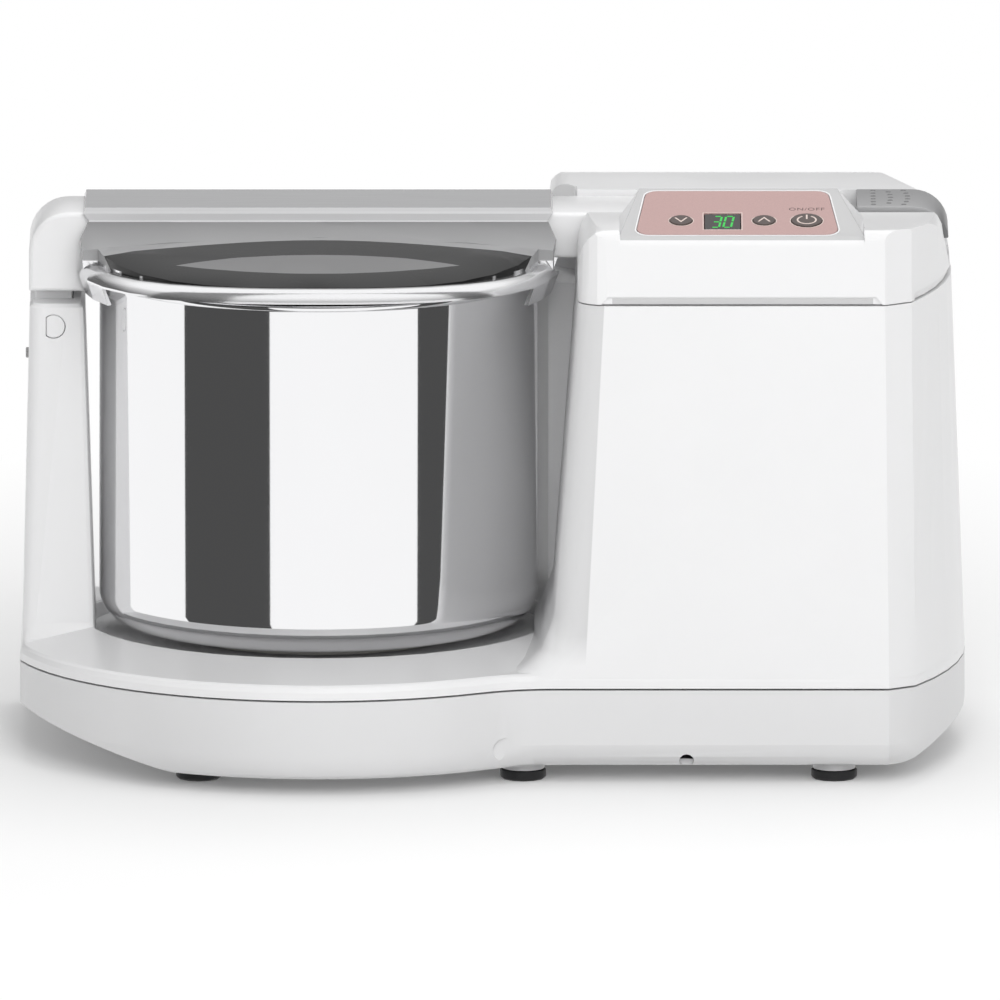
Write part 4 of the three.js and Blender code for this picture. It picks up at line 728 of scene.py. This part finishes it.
class GrinderFinishes(bpy.types.PropertyGroup):
    white: FloatVectorProperty(
        name="White",
        description="Housing, cover and arm",
        subtype="COLOR",
        default=(0.84, 0.84, 0.845),
    )
    pink: FloatVectorProperty(
        name="Pink", description="Control panel", subtype="COLOR", default=(0.485, 0.318, 0.303)
    )
    grey: FloatVectorProperty(
        name="Grey", description="Latch lever", subtype="COLOR", default=(0.36, 0.36, 0.365)
    )
    smoke: FloatVectorProperty(
        name="Smoke", description="Lid", subtype="COLOR", default=(0.37, 0.37, 0.375)
    )
    steel: FloatVectorProperty(
        name="Steel", description="Drum", subtype="COLOR", default=(0.86, 0.86, 0.87)
    )
    key: FloatVectorProperty(
        name="Key", description="Key caps", subtype="COLOR", default=(0.085, 0.065, 0.06)
    )
    digits: FloatVectorProperty(
        name="Digits",
        description="Lit segments of the display",
        subtype="COLOR",
        default=(0.05, 0.9, 0.12),
    )
    granite: FloatVectorProperty(
        name="Granite",
        description="Stones and their bed",
        subtype="COLOR",
        default=(0.16, 0.16, 0.165),
    )


class GrinderSizes(bpy.types.PropertyGroup):
    edge: FloatProperty(
        name="Soft Edge",
        description="Radius on the mouldings' edges",
        unit="LENGTH",
        default=0.7 * MM,
    )
    stroke: FloatProperty(
        name="Sign Stroke",
        description="Width of the lines on the keys",
        unit="LENGTH",
        default=0.75 * MM,
    )
    facets: IntProperty(name="Facets", description="Steps round the drum", default=192)
    bead: FloatProperty(
        name="Bead",
        description="Radius of the roll round the drum's mouth",
        unit="LENGTH",
        default=2 * MM,
    )
    drum_corner: FloatProperty(
        name="Drum Corner",
        description="Radius at the drum's foot",
        unit="LENGTH",
        default=15 * MM,
    )
    drum_wall: FloatProperty(
        name="Drum Wall",
        description="Thickness of the drum's sheet",
        unit="LENGTH",
        default=1.3 * MM,
    )


class StageSettings(bpy.types.PropertyGroup):
    elevation: FloatProperty(
        name="Elevation",
        description="Camera above the horizon",
        subtype="ANGLE",
        default=math.radians(10.3),
    )
    distance: FloatProperty(
        name="Distance", description="Camera to the object", unit="LENGTH", default=20.0
    )
    scale: FloatProperty(
        name="Picture Scale",
        description="Picture elements to a metre at the object",
        default=2200.0,
    )
    daylight: FloatProperty(
        name="Daylight", description="Strength of the light from all sides", default=0.6
    )
    floor_lift: FloatProperty(
        name="Floor Lift", description="How much the floor is paled for the camera", default=0.08
    )
    floor_reach: FloatProperty(
        name="Floor Reach",
        description="How far out the floor keeps its own tone",
        unit="LENGTH",
        default=0.28,
    )
    floor_fade: FloatProperty(
        name="Floor Fade",
        description="Distance over which the floor then turns white",
        unit="LENGTH",
        default=0.5,
    )
    key_power: FloatProperty(
        name="Key Light",
        description="Power of the large lamp in front",
        unit="POWER",
        default=14.4,
    )


def finishes():
    return bpy.context.scene.grinder_finishes


def sizes():
    return bpy.context.scene.grinder_sizes


def named(name, maker, *arguments):
    """A material by name, made the first time it is asked for."""
    found = bpy.data.materials.get(name)
    return found or maker(name, *arguments)


def colour(value):
    return (*value, 1.0)


def white_moulding():
    return named("white moulding", moulded, colour(finishes().white), 0.3)


def turned_steel():
    return named("turned steel", machined_steel, (0.56, 0.57, 0.58, 1.0), 0.32)


def pale_print():
    return named("pale print", printed_enamel, (0.72, 0.6, 0.55, 1.0))


def natural_nylon():
    return named("natural nylon", moulded, (0.76, 0.75, 0.7, 1.0), 0.5)


def black_moulding():
    return named("black moulding", moulded, (0.02, 0.02, 0.021, 1.0), 0.5)


def black_rubber():
    return named("black rubber", soft_rubber, (0.016, 0.016, 0.017, 1.0))


def cast_metal():
    return named("cast aluminium", cast_aluminium, (0.5, 0.5, 0.51, 1.0))


def granite():
    return named("dressed granite", dressed_granite, colour(finishes().granite))


# Pieces


class GRINDER_OT_housing(bpy.types.Operator):
    """Base pan, upper housing and top cover with softened edges"""

    bl_idname = "grinder.housing"
    bl_label = "Housing"

    def execute(self, context):
        soften("pin_plug", white_moulding(), sizes().edge)
        # The shell's band up the tower's left corner is painted shade on the chamfer there.
        shell = named("shell moulding", moulded, colour(finishes().white), 0.3, opening_chamfer_shade(0.78))
        soften("upper_housing", shell, sizes().edge)
        # The pan is the housing's white, painted darker as shade on its downward-sloping faces.
        pan = named("pan moulding", moulded, darker(colour(finishes().white), 0.88), 0.36)
        soften("base_pan", pan, sizes().edge)
        surround = panel_surround(broad_face("control_panel")[0], 0.62)
        # The strip above the cover's seam is painted shade of the recessed step.
        reveal = painted_reveal_shade(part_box("upper_housing")[1].z, 0.7)
        tone = in_turn(surround, reveal)
        cover = named("cover moulding", moulded, colour(finishes().white), 0.3, tone)
        soften("top_cover", cover, sizes().edge)
        rubber = named("grey rubber", soft_rubber, (0.3, 0.3, 0.3, 1.0))
        soften("side_bumper", rubber, sizes().edge / 2)
        soften("cord_inlet", black_moulding(), sizes().edge)
        return {"FINISHED"}


class GRINDER_OT_feet(bpy.types.Operator):
    """Rubber pads under the pan"""

    bl_idname = "grinder.feet"
    bl_label = "Feet"

    def execute(self, context):
        for node in frame["nodes"]:
            if node.startswith("foot_"):
                soften(node, black_rubber(), sizes().edge)
        return {"FINISHED"}


def key_ring(node, panel, material):
    """The pale line printed on the panel round a key."""
    place, outline = broad_face(node)
    drop = (panel.inverted() @ place.translation).z
    rise = 0.05 * MM
    outer, inner = widened(outline, 0.95 * MM), widened(outline, 0.55 * MM)
    skin = outline_ring(outer, inner, -drop - rise, rise - drop)
    print_piece(f"{node}_ring", skin, place, "housing", material)


def key_mark(node, lines, material):
    """A sign on a key's cap, drawn in strokes of even width."""
    place, _ = broad_face(node)
    width = sizes().stroke
    skins = [slab(stroke(line, width), -PRINT_RISE, PRINT_RISE) for line in lines]
    print_piece(f"{node}_sign", merge_skins(skins), place, body_of(node), material)


def chevron(pointing):
    """A chevron that points up the slope, or down it for a negative direction."""
    half, rise = 2.6 * MM, 2.1 * MM * pointing
    return [(-half, -rise), (0.0, rise), (half, -rise)]


def power_sign():
    """A ring open at its top with a bar in the gap."""
    radius, drop, steps = 4.2 * MM, 0.3 * MM, 28
    bar_foot, bar_top = 0.6 * MM, 5.2 * MM
    ring = arc((0.0, -drop), radius, 118, 422, steps)
    return [ring, [(0.0, bar_foot), (0.0, bar_top)]]


def digit_bars(centre, lit):
    """The lit bars of one figure of the display: each a slanted stroke with a gap to the next."""
    half, rise = 1.75 * MM, 2.95 * MM
    gap = 0.55 * MM
    lean = 0.12
    ends = {
        "top": ((gap - half, 2 * rise), (half - gap, 2 * rise)),
        "middle": ((gap - half, 0.0), (half - gap, 0.0)),
        "bottom": ((gap - half, -2 * rise), (half - gap, -2 * rise)),
        "upper_left": ((-half, gap), (-half, 2 * rise - gap)),
        "upper_right": ((half, gap), (half, 2 * rise - gap)),
        "lower_left": ((-half, gap - 2 * rise), (-half, -gap)),
        "lower_right": ((half, gap - 2 * rise), (half, -gap)),
    }
    return [[(centre + x + y * lean, y) for x, y in ends[name]] for name in lit]


class GRINDER_OT_panel(bpy.types.Operator):
    """Control panel with its lip, keys, signs and the lit display"""

    bl_idname = "grinder.panel"
    bl_label = "Control Panel"

    def execute(self, context):
        film = named("pink film", printed_enamel, colour(finishes().pink))
        soften("control_panel", film, sizes().edge / 3)
        cap = named("key cap", moulded, colour(finishes().key), 0.4)
        for node in KEYS:
            soften(node, cap, sizes().edge / 3)
        window = named("display window", moulded, (0.03, 0.028, 0.027, 1.0), 0.16)
        soften("display_window", window, sizes().edge / 3)
        coat_node("display_module", black_moulding())
        board = named("coated board", coated_board, (0.02, 0.12, 0.05, 1.0))
        coat_node("control_board", board)
        self.signs()
        self.display()
        return {"FINISHED"}

    def signs(self):
        """The lip round the panel, a ring and a sign for each key, and the switch's words."""
        panel, outline = broad_face("control_panel")
        outer, inner = widened(outline, 1.0 * MM), widened(outline, 0.35 * MM)
        lip = outline_ring(outer, inner, -0.5 * MM, -0.1 * MM)
        print_piece("panel_lip", lip, panel, "housing", white_moulding())
        for node in KEYS:
            key_ring(node, panel, pale_print())
        key_mark("key_down", [chevron(-1)], pale_print())
        key_mark("key_up", [chevron(1)], pale_print())
        key_mark("key_power", power_sign(), pale_print())
        place, _ = broad_face("key_power")
        spot = panel.inverted() @ place.translation
        words_height, words_rise = 3.0 * MM, 11.2 * MM
        words = lettering("ON/OFF", words_height)
        place = panel @ Matrix.Translation((spot.x, spot.y + words_rise, 0.0))
        dark = named("dark print", printed_enamel, (0.09, 0.06, 0.055, 1.0))
        print_piece("switch_words", words, place, "housing", dark)

    def display(self):
        """The lit figures behind the window, and the line printed round it."""
        place, outline = broad_face("display_window")
        lit = named("lit segments", lit_segments, colour(finishes().digits), 0.55)
        aside, bar_width, sunk = 2.7 * MM, 0.95 * MM, 0.05 * MM
        three = ("top", "upper_right", "middle", "lower_right", "bottom")
        nought = ("top", "upper_right", "lower_right", "bottom", "upper_left", "lower_left")
        bars = digit_bars(-aside, three) + digit_bars(aside, nought)
        skins = [slab(stroke(bar, bar_width), -sunk, PRINT_RISE) for bar in bars]
        figures = merge_skins(skins)
        print_piece("display_figures", figures, place, "housing", lit)
        outer, inner = widened(outline, 0.9 * MM), widened(outline, 0.5 * MM)
        frame_line = outline_ring(outer, inner, 0.0, PRINT_RISE)
        panel, _ = broad_face("control_panel")
        drop = (panel.inverted() @ place.translation).z
        bmesh.ops.translate(frame_line, vec=(0.0, 0.0, -drop), verts=frame_line.verts)
        print_piece("display_line", frame_line, place, "housing", pale_print())


def lettering(words, height):
    """Words as a thin raised skin about their middle."""
    size_for_height = 1.4
    curve = bpy.data.curves.new("words", "FONT")
    curve.body = words
    curve.size = height * size_for_height
    curve.extrude = 0.03 * MM
    curve.align_x = "CENTER"
    curve.space_character = 1.1
    holder = bpy.data.objects.new("words", curve)
    bpy.context.scene.collection.objects.link(holder)
    bpy.context.view_layer.update()
    solved = holder.evaluated_get(bpy.context.evaluated_depsgraph_get())
    mesh = bpy.data.meshes.new_from_object(solved)
    bpy.data.objects.remove(holder)
    bpy.data.curves.remove(curve)
    skin = bmesh.new()
    skin.from_mesh(mesh)
    bpy.data.meshes.remove(mesh)
    return skin


class GRINDER_OT_arm(bpy.types.Operator):
    """Arm with its cap, fork and strike"""

    bl_idname = "grinder.arm"
    bl_label = "Arm"

    def execute(self, context):
        soften("arm", white_moulding(), sizes().edge)
        coat_node("arm_fork", natural_nylon())
        coat_node("arm_strike", turned_steel())
        coat_node("hinge_pin", turned_steel())
        return {"FINISHED"}


class LidPlan:
    """Where the lid's parts meet, in metres: its rim, its dome, the ridge's foot and the paler
    lens painted into the dome.
    """

    def __init__(self):
        low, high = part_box("lid")
        self.centre = middle("lid")
        self.squareness = 2.7
        half = (high.y - low.y) / 2
        self.across_share = (high.x - low.x) / 2 / half
        self.dome_reach = half - 7.2 * MM
        self.dome_foot = self.dome_reach * 0.8
        self.dome_top = high.z - 8.6 * MM
        self.wall_top = high.z - 1.6 * MM
        self.wall_bottom = high.z - 5.8 * MM
        self.rim_top = high.z - 22.8 * MM
        self.chrome_top = self.rim_top + 1.5 * MM
        self.foot = 41 * MM
        self.slope = -1.35
        self.crease = 0.4 * MM
        self.blur = 0.25 * MM
        self.lens_near = (361.6 * MM, 295.6 * MM)
        self.lens_far = (-59.8 * MM, 149.1 * MM)

    def lens_arc(self, across, along, circle):
        """Inside one of the two circles whose overlap is the paler lens painted into the dome."""
        centre, radius = circle
        distance = (across.power(2.0) + (along - centre).power(2.0)).power(0.5)
        return ((radius - distance) / self.blur).clamped()


class GRINDER_OT_lid(bpy.types.Operator):
    """Smoke-grey lid over the arm"""

    bl_idname = "grinder.lid"
    bl_label = "Lid"

    def execute(self, context):
        smoke = named("smoked plastic", smoke_with_painted_light, colour(finishes().smoke), LidPlan())
        soften("lid", smoke, sizes().edge)
        return {"FINISHED"}


class GRINDER_OT_latch(bpy.types.Operator):
    """Latch lever and its pin"""

    bl_idname = "grinder.latch"
    bl_label = "Latch"

    def execute(self, context):
        bend = bent_down(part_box("latch_lever")[1].z - 3 * MM, 0.5)
        grey = named("grey moulding", moulded, colour(finishes().grey), 0.38, bend)
        soften("latch_lever", grey, sizes().edge)
        coat_node("latch_pin", turned_steel())
        self.pips()
        return {"FINISHED"}

    def pips(self):
        """Three columns of low pips that keep a thumb from slipping."""
        low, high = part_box("latch_lever")
        middle_line = middle("latch_lever").y
        half_column, most_gaps, facets = 18.5 * MM, 5, 20
        profile = [(0.0, -0.2), (1.25, -0.2), (1.25, 0.05), (1.0, 0.3), (0.5, 0.4), (0.0, 0.42)]
        profile = [(radius * MM, high.z + height * MM) for radius, height in profile]
        skins = []
        # Each column: how far in it starts, its pips, and how far its middle bows out.
        for start, count, bow in ((9.6, 6, 0.0), (16.6, 5, 0.9), (23.4, 6, 1.9)):
            reach = half_column * (count - 1) / most_gaps
            for i in range(count):
                side = 2 * i / (count - 1) - 1
                across = low.x + (start + bow * (1 - side * side)) * MM
                skins.append(lathe(profile, (across, middle_line + side * reach), facets))
        dark = named("grey pips", moulded, darker(colour(finishes().grey), 0.55), 0.42)
        make_piece("latch_pips", merge_skins(skins), "latch", dark)


class GRINDER_OT_drum(bpy.types.Operator):
    """Drawn steel drum with a rolled mouth"""

    bl_idname = "grinder.drum"
    bl_label = "Drum"

    def execute(self, context):
        low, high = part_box("drum_shell")
        size = sizes()
        outer = (high.x - low.x) / 2 - size.bead
        inner = outer - size.drum_wall
        corner = size.drum_corner
        clearance, corner_steps, bead_steps, crease = 0.3 * MM, 12, 10, 50.0
        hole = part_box("centre_pin")
        mouth = (hole[1].x - hole[0].x) / 2 + clearance
        turn = (outer - corner, low.z + corner)
        profile = [(mouth, low.z), *arc(turn, corner, -90, 0, corner_steps)]
        profile += arc((outer, high.z - size.bead), size.bead, -90, 90, bead_steps)
        profile += [(inner, high.z), *arc(turn, corner - size.drum_wall, 0, -90, corner_steps)]
        profile.append((mouth, low.z + size.drum_wall))
        skin = lathe(profile, middle("drum_shell"), size.facets)
        steel = named("polished steel", polished_steel, colour(finishes().steel), 0.02)
        replaced = ("drum_shell",)
        make_piece("drum_bowl", skin, "drum", steel, replaced, crease=crease)
        coat_node("drive_ring", natural_nylon())
        coat_node("centre_pin", turned_steel())
        return {"FINISHED"}


class GRINDER_OT_stones(bpy.types.Operator):
    """Stone bed, conical stones, axles, holder and wiper"""

    bl_idname = "grinder.stones"
    bl_label = "Stones"

    def execute(self, context):
        for node in ("stone_bed", "stone_front", "stone_rear"):
            coat_node(node, granite())
        for node in ("axle_front", "axle_rear"):
            coat_node(node, turned_steel())
        for node in ("stone_holder", "wiper"):
            soften(node, natural_nylon(), sizes().edge)
        return {"FINISHED"}


class GRINDER_OT_drive(bpy.types.Operator):
    """Spindle, pulleys, belt and motor inside the housing"""

    bl_idname = "grinder.drive"
    bl_label = "Drive"

    def execute(self, context):
        bronze = named("sintered bronze", cast_aluminium, (0.5, 0.34, 0.16, 1.0))
        sheets = named("laminated sheet", laminated_sheet, (0.3, 0.31, 0.33, 1.0))
        wire = named("copper winding", wound_wire, (0.6, 0.24, 0.09, 1.0))
        coats = {
            "spindle": turned_steel(),
            "spindle_housing": cast_metal(),
            "spindle_bearing_lower": bronze,
            "spindle_bearing_upper": bronze,
            "driven_pulley": cast_metal(),
            "motor_pulley": cast_metal(),
            "drive_belt": black_rubber(),
            "motor_stator": sheets,
            "motor_rotor": turned_steel(),
            "winding_lower": wire,
            "winding_upper": wire,
            "motor_frame_lower": cast_metal(),
            "motor_frame_upper": cast_metal(),
            "cooling_fan": natural_nylon(),
        }
        for node, material in coats.items():
            coat_node(node, material)
        return {"FINISHED"}


# Stage


def studio_world(settings):
    """White to the camera, an even light for the surfaces, and two dark flags for the steel."""
    world = bpy.data.worlds.new("studio")
    bpy.context.scene.world = world
    finish = Finish(world)
    direction = finish.node("ShaderNodeTexCoord", output="Generated")
    bearing = finish.split(direction, "X").bearing(-1.0 * finish.split(direction, "Y"))
    flags = 0.0
    for start, end in FLAGS:
        flags = flags + (bearing > math.radians(start)) * (bearing < math.radians(end))
    mirrored = finish.node("ShaderNodeLightPath", output="Is Glossy Ray")
    seen = finish.node("ShaderNodeLightPath", output="Is Camera Ray")
    height = finish.split(direction, "Z")
    above = height > 0.0
    sky_start, sky_fade, sky_least, sky_rise = 0.32, 0.4, 0.1, 0.9
    ground, flag_over_sky = 1.08, 0.8
    sky = ((height - sky_start) / sky_fade).clamped() * sky_rise + sky_least
    lower = (1.0 - above) * (ground - flags)
    upper = above * sky * (1.0 - flags * flag_over_sky)
    level = mirrored * (lower + upper) + (1.0 - mirrored) * settings.daylight
    level = seen + (1.0 - seen) * level
    sockets = {"Color": PURE_WHITE, "Strength": level}
    finish.surface(finish.node("ShaderNodeBackground", sockets=sockets))


def pale_floor(settings):
    """A matt floor that turns plain white for the camera further out."""
    finish = new_finish("pale floor")
    seen = finish.node("ShaderNodeLightPath", output="Is Camera Ray")
    matt = {"Color": (0.8, 0.8, 0.8, 1.0), "Roughness": 0.5}
    lit = finish.node("ShaderNodeBsdfDiffuse", sockets=matt)
    faint = {"Color": PURE_WHITE, "Strength": seen * settings.floor_lift}
    lift = finish.node("ShaderNodeEmission", sockets=faint)
    lit = finish.node("ShaderNodeAddShader", sockets={0: lit, 1: lift})
    plain = {"Color": PURE_WHITE, "Strength": 1.0}
    glow = finish.node("ShaderNodeEmission", sockets=plain)
    distance = finish.vector("LENGTH", {0: finish.place()}, "Value")
    far = ((distance - settings.floor_reach) / settings.floor_fade).clamped()
    mixed = {0: seen * far, 1: lit, 2: glow}
    return finish.surface(finish.node("ShaderNodeMixShader", sockets=mixed))


def soft_box(name, place, target, size, power):
    """A square soft box turned to a point."""
    light = bpy.data.lights.new(name, "AREA")
    light.shape = "SQUARE"
    light.size = size
    light.energy = power
    box = bpy.data.objects.new(name, light)
    box.location = place
    box.rotation_euler = (Vector(target) - Vector(place)).to_track_quat("-Z", "Y").to_euler()
    box.visible_glossy = False
    bpy.context.scene.collection.objects.link(box)


class GRINDER_OT_stage(bpy.types.Operator):
    """Pale floor, soft light and the camera"""

    bl_idname = "grinder.stage"
    bl_label = "Stage"

    def execute(self, context):
        settings = context.scene.grinder_stage
        half_floor = 3.0
        studio_world(settings)
        skin = bmesh.new()
        bmesh.ops.create_grid(skin, x_segments=1, y_segments=1, size=half_floor)
        mesh = bpy.data.meshes.new("floor")
        skin.to_mesh(mesh)
        skin.free()
        mesh.materials.append(pale_floor(settings))
        floor = bpy.data.objects.new("floor", mesh)
        floor.visible_glossy = False
        context.scene.collection.objects.link(floor)
        aim = Vector((3.25, 0.0, 115.2)) * MM
        for name, place, size, share in SOFT_BOXES:
            soft_box(name, place, aim, size, settings.key_power * share)
        camera = bpy.data.cameras.new("camera")
        picture_width = 1000.0
        camera.lens = camera.sensor_width * settings.distance * settings.scale / picture_width
        camera.clip_start = 1.0
        camera.clip_end = 100.0
        view = bpy.data.objects.new("camera", camera)
        lift = settings.elevation
        view.location = aim + Vector((0.0, -math.cos(lift), math.sin(lift))) * settings.distance
        view.rotation_euler = (math.pi / 2 - lift, 0.0, 0.0)
        context.scene.collection.objects.link(view)
        context.scene.camera = view
        context.scene.view_settings.view_transform = "Standard"
        return {"FINISHED"}


class GRINDER_PT_panel(bpy.types.Panel):
    """Lists the grinder's settings and the buttons that make its pieces"""

    bl_idname = "GRINDER_PT_panel"
    bl_label = "Wet Grinder"
    bl_space_type = "VIEW_3D"
    bl_region_type = "UI"
    bl_category = "Wet Grinder"

    def draw(self, context):
        scene = context.scene
        for group in (scene.grinder_finishes, scene.grinder_sizes, scene.grinder_stage):
            box = self.layout.box()
            for name in group.bl_rna.properties.keys():
                if name not in ("rna_type", "name"):
                    box.prop(group, name)
        for operator in OPERATORS:
            self.layout.operator(operator.bl_idname)


OPERATORS = (
    GRINDER_OT_housing,
    GRINDER_OT_feet,
    GRINDER_OT_panel,
    GRINDER_OT_arm,
    GRINDER_OT_lid,
    GRINDER_OT_latch,
    GRINDER_OT_drum,
    GRINDER_OT_stones,
    GRINDER_OT_drive,
    GRINDER_OT_stage,
)
SETTINGS = (GrinderFinishes, GrinderSizes, StageSettings)
CLASSES = (*SETTINGS, *OPERATORS, GRINDER_PT_panel)


def register():
    for kind in CLASSES:
        bpy.utils.register_class(kind)
    bpy.types.Scene.grinder_finishes = PointerProperty(type=GrinderFinishes)
    bpy.types.Scene.grinder_sizes = PointerProperty(type=GrinderSizes)
    bpy.types.Scene.grinder_stage = PointerProperty(type=StageSettings)


def unregister():
    del bpy.types.Scene.grinder_stage
    del bpy.types.Scene.grinder_sizes
    del bpy.types.Scene.grinder_finishes
    for kind in reversed(CLASSES):
        bpy.utils.unregister_class(kind)


def main():
    register()
    bpy.ops.grinder.housing()
    bpy.ops.grinder.feet()
    bpy.ops.grinder.panel()
    bpy.ops.grinder.arm()
    bpy.ops.grinder.lid()
    bpy.ops.grinder.latch()
    bpy.ops.grinder.drum()
    bpy.ops.grinder.stones()
    bpy.ops.grinder.drive()
    bpy.ops.grinder.stage()


if __name__ == "__main__":
    main()
